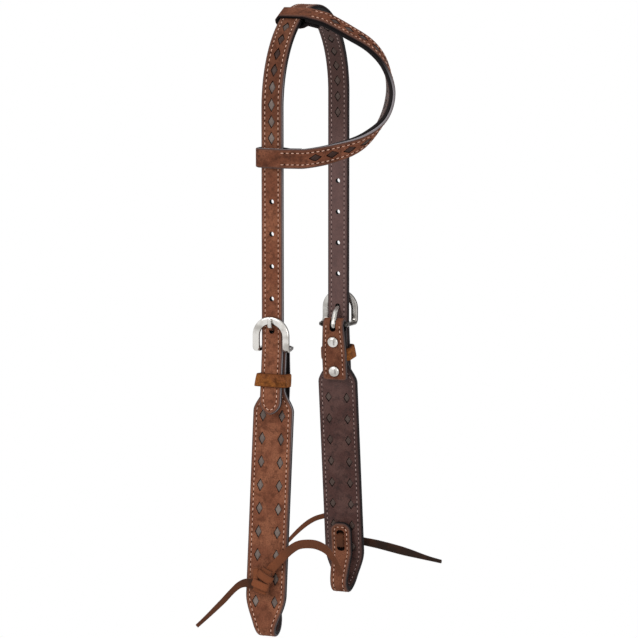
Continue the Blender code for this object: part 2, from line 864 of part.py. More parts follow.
def buckle_part(name, side):
    """The horseshoe buckle: a flat band turned back at its heels to the bar."""
    path = [(-frame_back, frame_heel)]
    path += turn((-frame_back, frame_heel), (frame_face, frame_heel), (frame_face, frame_height), frame_bend, 3)
    path.append((frame_face, frame_height))
    ribbon = side_ribbon(path)
    outer = frame_outer_width / 2
    inner = frame_inner_width / 2
    top = ribbon.marks[-1] - outer
    outline = [(inner, 0), (outer, 0)]
    outline += half_circle(outer, top, 14)
    outline += [(-outer, 0), (-inner, 0)]
    outline += reversed(half_circle(inner, top, 10))
    frame = flat_mesh(name, [outline], 0, frame_thickness)
    bar_mesh = bpy.data.meshes.new(name + "_bar")
    body = bmesh.new()
    bmesh.ops.create_cone(
        body, cap_ends=True, segments=16, radius1=bar_radius, radius2=bar_radius, depth=2 * bar_half_length
    )
    body.to_mesh(bar_mesh)
    body.free()
    bar = cutting_tool(name + "_bar", bar_mesh)
    bar.rotation_euler.y = math.pi / 2
    made = finish(name, bend(frame, ribbon, side), bright_metal, [bar], "UNION")
    bar.parent = made
    return made


def tongue_part(name, side):
    """The buckle's tongue: curled round the bar, up through the strap and onto the band."""
    knee = Vector((tongue_knee_out, tongue_knee_rise))
    leave = math.atan2(knee.y, knee.x) + math.acos(fold_radius / knee.length)
    sweep = leave - 2 * math.pi - tongue_start
    path = arc((0, 0), fold_radius, tongue_start, sweep, 9)
    path += [tuple(knee), (tongue_face, tongue_crest_rise), (tongue_face, tongue_rise)]
    ribbon = side_ribbon(path)
    length = ribbon.marks[-1]
    profile = [(0, tongue_width / 2), (ribbon.marks[-2], tongue_width / 2)]
    profile += rounded_end(length, tongue_tip_width / 2, tongue_tip_width / 3, 1)
    flat = flat_mesh(name, [symmetric(profile)], -tongue_thickness, 0)
    return finish(name, bend(flat, ribbon, side), bright_metal)


def knot_side(centre, toward):
    """The place just off the knot's surface on the line to a point."""
    step = toward - centre
    reach = math.sqrt(
        (2 * step.x / knot_width) ** 2 + (2 * step.y / knot_depth) ** 2 + (2 * step.z / knot_height) ** 2
    )
    return centre + step / reach + step.normalized() * ease


def tie_parts(name, side, tails):
    """The thong that closes the bit loop: through both slots, knotted outside, with two tails."""
    high = tie_high_rise - cheek_length
    low = tie_low_rise - cheek_length
    knot_out = fold_radius + ply + knot_base + knot_depth / 2
    behind = flap_face - ply - ease - thong_thickness / 2
    bend_radius = thong_thickness / 2 + ease
    path = [(knot_out, high)]
    path += turn((knot_out, high), (behind, high), (behind, low), bend_radius, 3)
    path += turn((behind, high), (behind, low), (knot_out, low), bend_radius, 3)
    path.append((knot_out, low))
    ribbon = side_ribbon(path)
    half = thong_width / 2
    outline = symmetric([(0, half), (ribbon.marks[-1], half)])
    run = flat_mesh(name, [outline], -thong_thickness / 2, thong_thickness / 2)
    knot_mesh = bpy.data.meshes.new(name + "_knot")
    body = bmesh.new()
    bmesh.ops.create_uvsphere(body, u_segments=14, v_segments=9, radius=knot_width / 2)
    bmesh.ops.scale(body, verts=body.verts, vec=(1, knot_depth / knot_width, knot_height / knot_width))
    body.to_mesh(knot_mesh)
    body.free()
    knot = cutting_tool(name + "_knot", knot_mesh)
    knot.location = (0, side * knot_out, (high + low) / 2)
    pieces = [knot, finish(name, bend(run, ribbon, side), tie_leather, [knot], "UNION")]
    for end, points in tails.items():
        places = smooth_line([points[0], *points, points[-1]], 2)
        centre = Vector((0, knot_out, (high + low) / 2))
        places[0] = knot_side(centre, places[1])
        path = [Vector((x, -out, up)) for x, out, up in places]
        across = []
        for number in range(len(path)):
            step = path[min(number + 1, len(path) - 1)] - path[max(number - 1, 0)]
            across.append(step.cross(Vector((0, -1, 0))).normalized())
        tail = Ribbon(path, across)
        length = tail.marks[-1]
        tip = half * tail_tip_share
        shape = symmetric([(0, half * tail_root_share), (length / 4, half), (length / 2, half), (length, tip)])
        flat = flat_mesh(name + "_" + end, [shape], -thong_thickness / 2, thong_thickness / 2)
        pieces.append(finish(name + "_" + end + "_tail", bend(flat, tail, side), tie_leather))
    return pieces


def side_parts(name, side, tails):
    """Everything below the crown on one side of the horse."""
    bar = (0, side * bar_out, -bar_depth)
    swing = pivot(name + "_cheek_swing", bar, side * splay, None)
    pieces = cheek_leather(name + "_cheek", side)
    pieces += billet_parts(name, side)
    for place, drop in zip(("upper", "lower"), screw_drops):
        pieces += screw_parts(name + "_" + place, drop, side)
    pieces.append(keeper_part(name + "_keeper", side))
    pieces += tie_parts(name + "_tie", side, tails)
    for piece in pieces:
        piece.parent = swing
    buckle = buckle_part(name + "_buckle", side)
    buckle.location = bar
    tongue = tongue_part(name + "_tongue", side)
    tongue.parent = buckle


empty_scene()
headstall = new_collection("western_headstall")
cutters = new_collection("cutters")
crown_parts()
ear_parts()
side_parts("right", -1, right_tails)
side_parts("left", 1, left_tails)
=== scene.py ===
"""Looks of the western headstall: stitched two-ply leather, laces, bright buckles and tied thongs.

Every piece is flat leather bent along a ribbon, or metal swept along a line, in the frame's metres.
"""

from math import acos, asin, atan2, ceil, copysign, cos, dist, pi, radians, sin, sqrt, tan

import bmesh
import bpy
import numpy as np
from mathutils import Matrix, Vector


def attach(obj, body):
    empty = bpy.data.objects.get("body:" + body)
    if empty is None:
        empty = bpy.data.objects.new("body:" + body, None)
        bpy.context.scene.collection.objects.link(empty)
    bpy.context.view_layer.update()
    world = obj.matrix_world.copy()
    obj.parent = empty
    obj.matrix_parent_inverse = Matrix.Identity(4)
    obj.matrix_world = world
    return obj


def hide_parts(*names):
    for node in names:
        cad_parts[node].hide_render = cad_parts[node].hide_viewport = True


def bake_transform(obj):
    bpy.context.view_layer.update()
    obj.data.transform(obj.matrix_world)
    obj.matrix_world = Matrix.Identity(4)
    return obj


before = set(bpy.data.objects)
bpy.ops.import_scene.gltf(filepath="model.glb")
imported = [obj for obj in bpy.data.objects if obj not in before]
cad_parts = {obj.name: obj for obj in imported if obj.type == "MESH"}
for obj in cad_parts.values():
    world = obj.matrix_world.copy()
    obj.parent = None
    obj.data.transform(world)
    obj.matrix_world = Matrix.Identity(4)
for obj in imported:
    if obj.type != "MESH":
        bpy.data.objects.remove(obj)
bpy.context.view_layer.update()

# Leather stock
ply = 0.0023
cement = 0.0003
ease = 0.0003
seam = 0.00002
stack = 2 * ply + cement
outline_step = 0.0024
weld = 0.000004
cut_reach = 0.000001
wall_mark = -0.001
rim_round = 0.0011
glue_round = 0.0002
stitch_inset = 0.0031
stitch_pitch = 0.0039
stitch_length = 0.0024
stitch_width = 0.00066
stitch_height = 0.0003
groove_depth = 0.00022
groove_half = 0.0009

# Rings of a stitch: reach, size, rise
stitch_rings = ((-1, 0.45, -0.9), (-0.62, 0.95, 0.25), (0, 1, 0.55), (0.62, 0.95, 0.25), (1, 0.45, -0.9))

# Crown
crown_width = 0.017
poll_radius = 0.070
bar_depth = 0.2555
bar_turn = 0.05
hole_radius = 0.0019
hole_pitch = 0.025
used_hole_rise = 0.0148
spare_holes = 4
slot_width = 0.0043
outer_slot = (0.0127, 0.0175)
lining_slot = (0.0105, 0.0157)
crown_stitch_margin = 0.004
crown_diamonds = 8
crown_diamond_pitch = 0.0126
crown_diamond_depth = 0.092

# Slip ear
ear_width = 0.015
ear_cement = 0.0005
ear_rise = 0.0018
ear_side_ease = 0.002
ear_corner = 0.0016
ear_exit_radius = 0.0048
ear_angle = radians(67.5)
ear_level = 0.107
ear_lean = radians(14)
ear_lead = 0.0025
ear_join = 0.013
ear_stitch_margin = 0.002
ear_stitch_reach = 0.0055
ear_joint_share = 0.25
ear_diamond_pitch = 0.0133
ear_diamond_margin = 0.0036
ear_reach = 0.085
ear_bow_shares = (
    (0.553, 0.443, 0.126), (0.771, 0.479, 0.220), (0.924, 0.536, 0.350), (1.000, 0.614, 0.533),
    (0.959, 0.729, 0.724), (0.800, 0.857, 0.874), (0.553, 0.960, 0.958),
)
ear_across_shares = (
    (0.05, -0.92, -0.36), (0.15, -0.93, -0.30), (0.32, -0.93, -0.18), (0.50, -0.86, 0.00),
    (0.52, -0.76, 0.30), (0.34, -0.48, 0.78), (0.10, -0.16, 0.97),
)

# Buckle and tongue
bar_radius = 0.0023
bar_half_length = 0.0118
frame_thickness = 0.003
frame_inner_width = 0.0188
frame_outer_width = 0.030
frame_height = 0.0261
frame_bend = 0.002
frame_heel = 0.0015
frame_back = 0.0035
frame_section = (
    (-1, 0.32), (-0.97, 0.62), (-0.86, 0.85), (-0.62, 0.96), (-0.3, 1), (0, 1.01), (0.3, 1), (0.62, 0.96),
    (0.86, 0.85), (0.97, 0.62), (1, 0.32), (0.95, 0.1), (0.8, 0), (-0.8, 0), (-0.95, 0.1),
)
heel_reach = 0.0109
heel_half = 0.0016
heel_length = 0.004
tongue_width = 0.004
tongue_tip_width = 0.0028
tongue_tip_round = 0.0014
tongue_thickness = 0.0019
tongue_knee_out = 0.0024
tongue_knee_rise = 0.0086
tongue_knee_round = 0.002
tongue_crest_rise = 0.0186
tongue_crest_round = 0.003
tongue_rise = 0.026
tongue_start = radians(60)

# Cheek
splay = radians(6.6)
neck_width = 0.0175
cheek_width = 0.0325
flare_start = 0.031
flare_end = 0.049
cheek_length = 0.224
liner_drop = 0.0052
fold_flap_length = 0.0458
fold_flap_width = 0.0205
fold_stitch_margin = 0.0045
flap_round = 0.003
fold_slot_width = 0.005
fold_slot_drop = 0.0052
taper_rise = 0.033
loop_width = 0.014
loop_radius = 0.00575
flap_rise = 0.058
flap_width = 0.017
flap_turn_rise = 0.032
flap_top_round = 0.007
tie_low_rise = 0.0372
tie_high_rise = 0.0498
cheek_diamonds = 9
cheek_diamond_pitch = 0.018
cheek_diamond_drop = 0.0522
cheek_column_offset = 0.0078
billet_length = 0.051
billet_point = 0.010
billet_round_share = 1.35

# Laces
diamond_width = 0.0050
diamond_length = 0.0090
diamond_gap = 0.0004
diamond_sink = 0.0002
diamond_dive = 0.0007
diamond_dome = 0.00045
diamond_edge = 0.0004
lining_diamond_length = 0.0074
window_corner = 0.06
# Painted sheen on each lace diamond, from dark brown (0) to taupe (1).
crown_lace_sheen = (0.85, 0.65, 0.75, 0.5, 0.1, 0, 0.05, 0.3)
ear_lace_sheen = 0.05
lining_lace_sheen = 0.22
cheek_lace_sheen = {
    "front": (0.55, 0.5, 0.8, 0.75, 0.8, 0.6, 0.6, 0.45, 0.4),
    "back": (0.85, 0.5, 0.7, 0.55, 0.6, 0.65, 0.5, 0.55, 0.45),
}

# Screws and keeper
screw_drops = {"upper": 0.0136, "lower": 0.0380}
cap_radius = 0.0046
cap_edge = 0.0006
cap_height = 0.0021
cap_sink = 0.0012
cap_foot = 0.0006
cap_bevel = 0.0001
cap_dome_share = 0.97
keeper_drop = 0.0246
keeper_height = 0.0102
keeper_thickness = 0.002
keeper_play = 0.0018
keeper_flare = 0.0008

# Ties
thong_width = 0.0062
thong_thickness = 0.0024
thong_tip = 0.003
thong_slack = 0.0018
tie_slot_length = 0.005
knot_width = 0.0175
knot_height = 0.0185
knot_depth = 0.0085
knot_base = 0.0012
knot_lift = 0.0014

# Turns of the knot: lean, offset, reach, lift, width, tone
knot_turns = (
    (-0.12, 0.0046, 0.0078, 0.62, 0.0046, 0.55),
    (0.06, -0.0050, 0.0082, 0.74, 0.0044, 0.85),
    (1.30, -0.0078, 0.0046, 0.66, 0.0046, 0.8),
    (1.15, 0.0078, 0.0036, 0.60, 0.0044, 0.7),
    (1.05, 0.0037, 0.0058, 1.00, 0.0064, 0.8),
    (1.22, -0.0036, 0.0062, 1.14, 0.0064, 1.0),
)

# Tails: tones, width shares, and the route from the bar as (x, out, up) in tenths of a millimetre
tails = {
    "right": (
        ("front", (0.8, 0.45), (1.15, 1.1), (
            (70, 104, -1690), (133, 108, -1622), (198, 112, -1555), (270, 115, -1502), (343, 117, -1483),
            (424, 117, -1483), (498, 117, -1509), (551, 116, -1555), (601, 115, -1620), (648, 114, -1695),
        )),
        ("back", (0.15, 0.35), (1.25, 0.72), (
            (-85, 104, -1826), (-140, 108, -1822), (-196, 112, -1845), (-252, 115, -1898),
            (-316, 116, -1971), (-388, 115, -2046), (-460, 113, -2119), (-532, 112, -2189),
        )),
    ),
    "left": (
        ("front", (0.05, 0), (1.05, 1.25), (
            (90, 104, -1850), (170, 108, -1862), (244, 112, -1873), (350, 115, -1893),
            (457, 116, -1914), (564, 116, -1936), (678, 115, -1960), (799, 112, -1980),
        )),
        ("back", (0.4, 0.5), (0.75, 0.66), (
            (-80, 104, -1675), (-145, 108, -1648), (-208, 111, -1668), (-277, 112, -1693),
            (-343, 115, -1733), (-408, 116, -1786), (-473, 115, -1849), (-542, 113, -1923),
        )),
    ),
}

# Sizes that follow
fold_radius = bar_radius + ease
head_thickness = 0.0016
billet_face = fold_radius + ply + 2 * ease + head_thickness
frame_face = billet_face + stack + ease
tongue_face = frame_face + frame_thickness + tongue_thickness + 2 * ease
bar_out = poll_radius - billet_face
loop_reach = loop_radius + ply + cement
loop_depth = cheek_length - ply - loop_reach
flap_face = fold_radius - 2 * cement - 2 * ply - 3 * ease - 0.0007
knot_out = fold_radius + ply + knot_base + knot_depth / 2


def unit(vectors):
    """Vectors scaled to length one."""
    return vectors / np.linalg.norm(vectors, axis=-1, keepdims=True)


def run_along(line):
    """How far along a line each of its places lies."""
    return np.concatenate([[0], np.cumsum(np.linalg.norm(np.diff(line, axis=0), axis=1))])


def blend_share(x):
    """A smooth change from 0 to 1 while x goes from 0 to 1."""
    x = np.clip(x, 0, 1)
    return x * x * (3 - 2 * x)


def mix(a, b, share):
    """A place part of the way from a to b."""
    return tuple(x + (y - x) * share for x, y in zip(a, b))


def swollen(value, power):
    """A sine or cosine drawn toward full size, its sign kept."""
    return copysign(abs(value) ** power, value)


def circle(count):
    """Places round a circle of radius one."""
    return [(cos(2 * pi * n / count), sin(2 * pi * n / count)) for n in range(count)]


def quarter(count):
    """Places along a quarter of that circle, both ends included."""
    return [(cos(n / count * pi / 2), sin(n / count * pi / 2)) for n in range(count + 1)]


def arc(centre, radius, start, sweep, count):
    """Places along an arc, both ends included."""
    angles = start + sweep * np.arange(count + 1) / count
    return [(centre[0] + radius * cos(a), centre[1] + radius * sin(a)) for a in angles]


def rounded(corners, *bends):
    """A line through corners, each inner one rounded by its own (radius, count)."""
    path = [tuple(corners[0])]
    for number, (radius, count) in enumerate(bends):
        before, point, after = [Vector(corner) for corner in corners[number:number + 3]]
        back = (before - point).normalized()
        ahead = (after - point).normalized()
        half = back.angle(ahead) / 2
        centre = point + (back + ahead).normalized() * (radius / sin(half))
        first = point + back * (radius / tan(half)) - centre
        sweep = pi - 2 * half
        if back.cross(ahead) > 0:
            sweep = -sweep
        path += arc(centre, radius, atan2(first.y, first.x), sweep, count)
    return path + [tuple(corners[-1])]


def evenly_spaced(points, step):
    """Points along a line, close enough together, its own corners kept."""
    spaced = [tuple(points[0])]
    for before, after in zip(points, points[1:]):
        count = max(1, ceil(dist(before, after) / step))
        spaced += [mix(before, after, number / count) for number in range(1, count + 1)]
    return spaced


def smooth_line(points, steps):
    """Places on a Catmull-Rom line through points, from the second to the last but one."""
    points = np.array(points, float)
    places = []
    for number in range(1, len(points) - 2):
        a, b, c, d = points[number - 1:number + 3]
        for step in range(steps):
            f = step / steps
            places.append(
                b + (c - a) * (f / 2)
                + (2 * a - 5 * b + 4 * c - d) * (f ** 2 / 2)
                + (3 * b - a - 3 * c + d) * (f ** 3 / 2)
            )
    return np.array(places + [points[-2]])


def mirror(points, side):
    """Places on the right side, or the same on the left."""
    return np.array(points, float) * (1, -1 if side == "left" else 1, 1)


def upright(points, side):
    """Places of the buckle's own frame, put at its bar."""
    return mirror(np.array(points, float) + (0, -bar_out, -bar_depth), side)


def hang(points, side):
    """Places of the cheek's own frame at the buckle's bar, put where the cheek hangs."""
    spin = np.array(Matrix.Rotation(-splay, 3, "X"))
    return upright(np.array(points, float) @ spin.T, side)


class Ribbon:
    """Stations that flat leather is bent along: s runs along them, w across, t out of the face."""

    def __init__(self, points, across, side=None, put=mirror):
        self.side = side
        self.put = put
        self.points = np.array(points, float)
        self.marks = run_along(self.points)
        self.length = self.marks[-1]
        across = np.array(across, float)
        normals = unit(np.cross(across[:-1] + across[1:], np.diff(self.points, axis=0)))
        both = (normals[:-1] + normals[1:]) / (1 + (normals[:-1] * normals[1:]).sum(1, keepdims=True))
        self.lifts = np.vstack([normals[:1], both, normals[-1:]])
        along = (across * self.lifts).sum(1, keepdims=True) / (self.lifts ** 2).sum(1, keepdims=True)
        self.across = unit(across - self.lifts * along)

    def bend(self, flat, side="right"):
        """The places in space of flat (s, w, t) points."""
        s, w, t = np.array(flat, float).reshape(-1, 3).T
        number = np.clip(np.searchsorted(self.marks, s, "right") - 1, 0, len(self.marks) - 2)
        share = ((s - self.marks[number]) / (self.marks[number + 1] - self.marks[number]))[:, None]
        start, end = [
            self.points[station] + self.across[station] * w[:, None] + self.lifts[station] * t[:, None]
            for station in (number, number + 1)
        ]
        return self.put(start + (end - start) * share, side)

    def mark(self, out, up):
        """The s of the station line's nearest place to an (out, up) point."""
        point = np.array([0, -out, up])
        start = self.points[:-1]
        step = np.diff(self.points, axis=0)
        share = np.clip(((point - start) * step).sum(1) / (step ** 2).sum(1), 0, 1)
        nearest = int(np.argmin(np.linalg.norm(point - start - step * share[:, None], axis=1)))
        return self.marks[nearest] + share[nearest] * np.linalg.norm(step[nearest])


def side_ribbon(path, side, put=mirror):
    """A ribbon along (out, up) places, with its width along X."""
    return Ribbon([(0, -out, up) for out, up in path], [(1, 0, 0)] * len(path), side, put)


def new_object(name, data):
    """An object of the scene."""
    made = bpy.data.objects.new(name, data)
    bpy.context.scene.collection.objects.link(made)
    return made


class Piece:
    """A mesh under construction: faces, and rows of places with values for the materials."""

    def __init__(self, name):
        self.name = name
        self.rows = np.zeros((0, 8))
        self.faces = []

    def add(self, rings, put, side, flat=None, rim=0, run=0, ends=True, loop=False):
        """Rings of places joined by faces, the ends of an open row capped; put moves them into place."""
        rings = np.array(rings, float)
        rows = np.zeros((rings.shape[0] * rings.shape[1], 8))
        rows[:, :3] = put(rings.reshape(-1, 3), side)
        rows[:, 3:6] = np.reshape(rings if flat is None else flat, (-1, 3))
        rows[:, 6] = np.ravel(rim)
        rows[:, 7] = np.ravel(run)
        index = len(self.rows) + np.arange(len(rows)).reshape(rings.shape[:2])
        self.rows = np.vstack([self.rows, rows])
        low = index if loop else index[:-1]
        high = np.roll(index, -1, 0)[:len(low)]
        quads = np.stack([low, np.roll(low, -1, 1), np.roll(high, -1, 1), high], axis=-1)
        self.faces += quads.reshape(-1, 4).tolist()
        if ends:
            self.faces += [index[0, ::-1].tolist(), index[-1].tolist()]

    def build(self, cutters=(), sharp=50):
        """The finished object, welded, faced outward and cut."""
        mesh = bpy.data.meshes.new(self.name)
        mesh.from_pydata(self.rows[:, :3].tolist(), [], self.faces)
        corners = np.zeros(len(mesh.loops), int)
        mesh.loops.foreach_get("vertex_index", corners)
        kept = (
            ("flat", "FLOAT_VECTOR", "vector", slice(3, 6)),
            ("rim", "FLOAT", "value", 6),
            ("run", "FLOAT", "value", 7),
        )
        for name, kind, key, columns in kept:
            slot = mesh.attributes.new(name, kind, "CORNER")
            slot.data.foreach_set(key, np.ravel(self.rows[corners, columns]).astype(np.float32))
        body = bmesh.new()
        body.from_mesh(mesh)
        bmesh.ops.remove_doubles(body, verts=body.verts, dist=weld)
        bmesh.ops.dissolve_degenerate(body, edges=body.edges, dist=weld)
        bmesh.ops.recalc_face_normals(body, faces=body.faces)
        body.to_mesh(mesh)
        body.free()
        made = new_object(self.name, mesh)
        for cutter in cutters:
            change = made.modifiers.new("cut", "BOOLEAN")
            change.operation = "DIFFERENCE"
            change.solver = "EXACT"
            change.object = cutter
        if cutters:
            bpy.context.view_layer.update()
            graph = bpy.context.evaluated_depsgraph_get()
            cut = bpy.data.meshes.new_from_object(made.evaluated_get(graph))
            made.modifiers.clear()
            made.data = cut
        for cutter in cutters:
            bpy.data.objects.remove(cutter)
        made.data.shade_smooth()
        made.data.set_sharp_from_angle(angle=radians(sharp))
        return made


class Outline:
    """Half of a strap's shape: (s, w) places from the middle of one end to the middle of the other."""

    def __init__(self, points):
        self.points = np.array(evenly_spaced(points, outline_step))
        steps = unit(np.diff(self.points, axis=0))
        normals = np.stack([steps[:, 1], -steps[:, 0]], axis=1)
        before = np.vstack([normals[0] * (1, -1), normals])
        after = np.vstack([normals, normals[-1] * (1, -1)])
        self.inward = (before + after) / (1 + (before * after).sum(1, keepdims=True))
        self.low = self.points[:, 0].min()
        self.high = self.points[:, 0].max()
        self.line = self.offset(stitch_inset)
        self.run = run_along(self.line)

    def offset(self, distance):
        """The outline moved toward the middle."""
        moved = self.points + self.inward * distance
        moved[:, 0] = np.clip(moved[:, 0], self.low + distance, self.high - distance)
        moved[:, 1] = np.clip(moved[:, 1], 0, max(self.points[:, 1].max() - distance, 0))
        return moved

    def at(self, run):
        """The place and direction of the stitch line at a run along it."""
        before, after = [
            np.array([np.interp(reach, self.run, self.line[:, axis]) for axis in (0, 1)])
            for reach in (run - groove_half, run + groove_half)
        ]
        return (before + after) / 2, unit(after - before)


def plate(name, ribbon, outline, glue, face, grooved=None, cutters=()):
    """One ply: its face has a rounded rim and a groove for the stitches, its other side is flat."""
    lift = 1 if face > glue else -1
    deep = stitch_inset + groove_half
    rim = [(deep, glue), (glue_round, glue), (0, glue + lift * glue_round)]
    walls = len(rim)
    rim += [(rim_round * (1 - x), face - lift * rim_round * (1 - y)) for x, y in quarter(4)]
    rim += [(stitch_inset - groove_half, face), (stitch_inset, face - lift * groove_depth), (deep, face)]
    s = outline.points[:, 0]
    sunk = np.zeros(len(s), bool)
    for first, last in grooved or [(-1, outline.high + 1)]:
        sunk |= (s > first) & (s < last)
    half = []
    for number, (distance, t) in enumerate(rim):
        level = np.where(sunk, t, face) if distance == stitch_inset else t
        half.append((outline.offset(distance), level, distance if number >= walls else wall_mark))

    def column(moved, share, level, far):
        return np.stack(np.broadcast_arrays(moved[:, 0], moved[:, 1] * share, level, far), axis=1)

    inner = half[-1][0]
    ring = [column(moved, 1, level, far) for moved, level, far in half]
    ring += [column(inner, x, face, deep + inner[:, 1] * (1 - abs(x))) for x in (0.6, 0.2, -0.2, -0.6)]
    ring += [column(moved, -1, level, far) for moved, level, far in reversed(half)]
    rings = np.stack(ring, axis=1)
    run = np.repeat(np.where(sunk, outline.run, -1.0), len(ring))
    piece = Piece(name)
    piece.add(rings[..., :3], ribbon.bend, "right", rim=rings[..., 3], run=run, ends=False)
    made = piece.build(cutters)
    if ribbon.side == "left":
        made.data.transform(Matrix.Diagonal((1, -1, 1, 1)))
        made.data.flip_normals()
    return made


def stitches(name, ribbon, outline, face, lift, sewn=None):
    """A row of stitches down both edges of a face, each a short bowed thread."""
    sewn = sewn or [(outline.low, outline.high)]
    piece = Piece(name)
    for hand in (1, -1):
        for number in range(int(outline.run[-1] / stitch_pitch)):
            centre, along = outline.at((number + 0.5) * stitch_pitch)
            if not any(first < centre[0] < last for first, last in sewn):
                continue
            beside = np.array([-along[1], along[0]])
            rings = []
            for reach, size, rise in stitch_rings:
                spot = centre + along * (reach * stitch_length / 2)
                level = face + lift * (rise * stitch_height - groove_depth)
                ring = []
                for x, y in circle(6):
                    s, w = spot + beside * (stitch_width / 2 * size * x)
                    ring.append((s, w * hand, level + stitch_height * size * y))
                rings.append(ring)
            piece.add(rings, ribbon.bend, ribbon.side)
    return piece.build()


def diamonds(piece, ribbon, marks, tones, offset, face, lift, length):
    """A lace's diamonds on one face: each is domed and dives under the leather at both ends."""
    x, y = np.array([(cos(angle), sin(angle)) for angle in np.linspace(0, pi / 2, 8)]).T
    for s, tone in zip(marks, tones):
        rings = []
        for share in np.concatenate([-x, y[1:]]):
            half = diamond_width / 2 * max(0.1, 1 - abs(share) ** 1.15)
            top = face - lift * (diamond_sink + diamond_dive * share ** 4)
            ring = []
            for side, up in circle(12):
                across = swollen(side, 0.8)
                level = face - lift * ply * 0.85
                if up >= 0:
                    dome = diamond_dome * (1 - share * share) * (1 - abs(across) ** 1.5)
                    level = top - lift * diamond_edge * (1 - up) + lift * dome
                ring.append((s + share * length / 2, offset + half * across, level))
            rings.append(ring)
        piece.add(rings, ribbon.bend, ribbon.side, rim=tone)


def between(marks):
    """The marks half way between each two."""
    return [(before + after) / 2 for before, after in zip(marks, marks[1:])]


def window(s, offset, length):
    """The opening in a ply that a lace's diamond shows through."""
    reach = length / 2 + diamond_gap * 2
    half = diamond_width / 2 + diamond_gap
    corners = [(s + reach, offset), (s, offset + half), (s - reach, offset), (s, offset - half)]
    points = []
    for a, b in zip(corners, corners[1:] + corners[:1]):
        points += [mix(a, b, window_corner), mix(a, b, 1 - window_corner)]
    return points


def round_hole(s, radius):
    """A punched hole on the strap's middle line."""
    return [(s + radius * x, radius * y) for x, y in circle(20)]


def long_hole(s, width, length):
    """A hole with round ends, along the strap."""
    radius = width / 2
    reach = length / 2 - radius
    return arc((s + reach, 0), radius, -pi / 2, pi, 8) + arc((s - reach, 0), radius, pi / 2, pi, 8)


def cutter(ribbon, points, low, high):
    """A body that cuts an opening of (s, w) points through bent leather of the right side."""
    body = bmesh.new()
    made = body.faces.new([body.verts.new((s, w, low)) for s, w in points])
    for item in bmesh.ops.extrude_face_region(body, geom=[made])["geom"]:
        if isinstance(item, bmesh.types.BMVert):
            item.co.z = high
    for mark in ribbon.marks:
        if min(points)[0] < mark < max(points)[0]:
            geometry = body.verts[:] + body.edges[:] + body.faces[:]
            plane = {"dist": cut_reach, "plane_co": (mark, 0, 0), "plane_no": (1, 0, 0)}
            bmesh.ops.bisect_plane(body, geom=geometry, **plane)
    for vert, place in zip(body.verts, ribbon.bend([tuple(vert.co) for vert in body.verts])):
        vert.co = place
    bmesh.ops.recalc_face_normals(body, faces=body.faces)
    mesh = bpy.data.meshes.new("cutter")
    body.to_mesh(mesh)
    body.free()
    return new_object("cutter", mesh)


def swell(start, end):
    """Half-width points of a smooth change between two (s, half-width) places."""
    shares = [number / 14 for number in range(15)]
    return [(mix(start, end, share)[0], mix(start, end, blend_share(share))[1]) for share in shares]


def sweep(line, sections, across):
    """A body swept along a line: each section is (wide, out) points, wide lying along across."""
    line = np.array(line, float)
    sections = np.array(sections)
    ahead = unit(np.gradient(line, axis=0))
    across = np.array(across, float)
    across = unit(across - ahead * (across * ahead).sum(1, keepdims=True))
    out = np.cross(across, ahead)
    rings = line[:, None] + across[:, None] * sections[..., :1] + out[:, None] * sections[..., 1:]
    marks = np.broadcast_to(run_along(line)[:, None, None], (*sections.shape[:2], 1))
    return rings, np.concatenate([marks, sections], axis=2)


def soft_section(half, thick, count=16, power=0.45):
    """A flat section with full, rounded edges."""
    return [(half * swollen(x, power), thick / 2 * swollen(y, power)) for x, y in circle(count)]


# Materials


class Shade:
    """A material's node output. Operators on it add Math nodes."""

    def __init__(self, tree, socket=None):
        self.tree = tree
        self.socket = socket

    def node(self, kind, settings=None, inputs=None, output=0):
        """Any node: its settings first, then its sockets' values and links."""
        made = self.tree.nodes.new("ShaderNode" + kind)
        for name, value in (settings or {}).items():
            setattr(made, name, value)
        for name, value in (inputs or {}).items():
            if isinstance(value, Shade):
                self.tree.links.new(value.socket, made.inputs[name])
            else:
                made.inputs[name].default_value = value
        return Shade(self.tree, made.outputs[output])

    def maths(self, operation, *values):
        """A Math node."""
        return self.node("Math", {"operation": operation}, dict(enumerate(values)))

    def __add__(self, other):
        return self.maths("ADD", self, other)

    def __sub__(self, other):
        return self.maths("SUBTRACT", self, other)

    def __rsub__(self, other):
        return self.maths("SUBTRACT", other, self)

    def __mul__(self, other):
        return self.maths("MULTIPLY", self, other)

    def __truediv__(self, other):
        return self.maths("DIVIDE", self, other)

    def __rtruediv__(self, other):
        return self.maths("DIVIDE", other, self)

    __radd__ = __add__
    __rmul__ = __mul__

    def between(self, low, high):
        """0 below low, 1 above high, smooth between."""
        inputs = {"Value": self, "From Min": low, "From Max": high}
        return self.node("MapRange", {"interpolation_type": "SMOOTHSTEP"}, inputs)

    def attribute(self, name, output="Fac"):
        """A value kept on the mesh."""
        return self.node("Attribute", {"attribute_name": name}, output=output)

    def noise(self, place, scale, detail=4.0, roughness=0.6):
        """Noise, from 0 to 1."""
        inputs = {"Vector": place, "Scale": scale, "Detail": detail, "Roughness": roughness}
        return self.node("TexNoise", None, inputs, "Fac")

    def height(self, axis="Z"):
        """The place's own height on the hanging headstall, or its distance along another axis."""
        place = self.node("TexCoord", output="Object")
        return self.node("SeparateXYZ", None, {"Vector": place}, axis)

    def colour_mix(self, share, first, second):
        """Two colours mixed, each a node's or written as sRGB hex."""
        first, second = [linear(tone) if isinstance(tone, str) else tone for tone in (first, second)]
        return self.node("Mix", {"data_type": "RGBA"}, {0: share, 6: first, 7: second}, 2)


def linear(code, gain=1.0):
    """A colour written as sRGB hex, in linear light."""
    values = []
    for number in (1, 3, 5):
        value = int(code[number:number + 2], 16) / 255
        value = value / 12.92 if value <= 0.04045 else ((value + 0.055) / 1.055) ** 2.4
        values.append(value * gain)
    return (*values, 1.0)


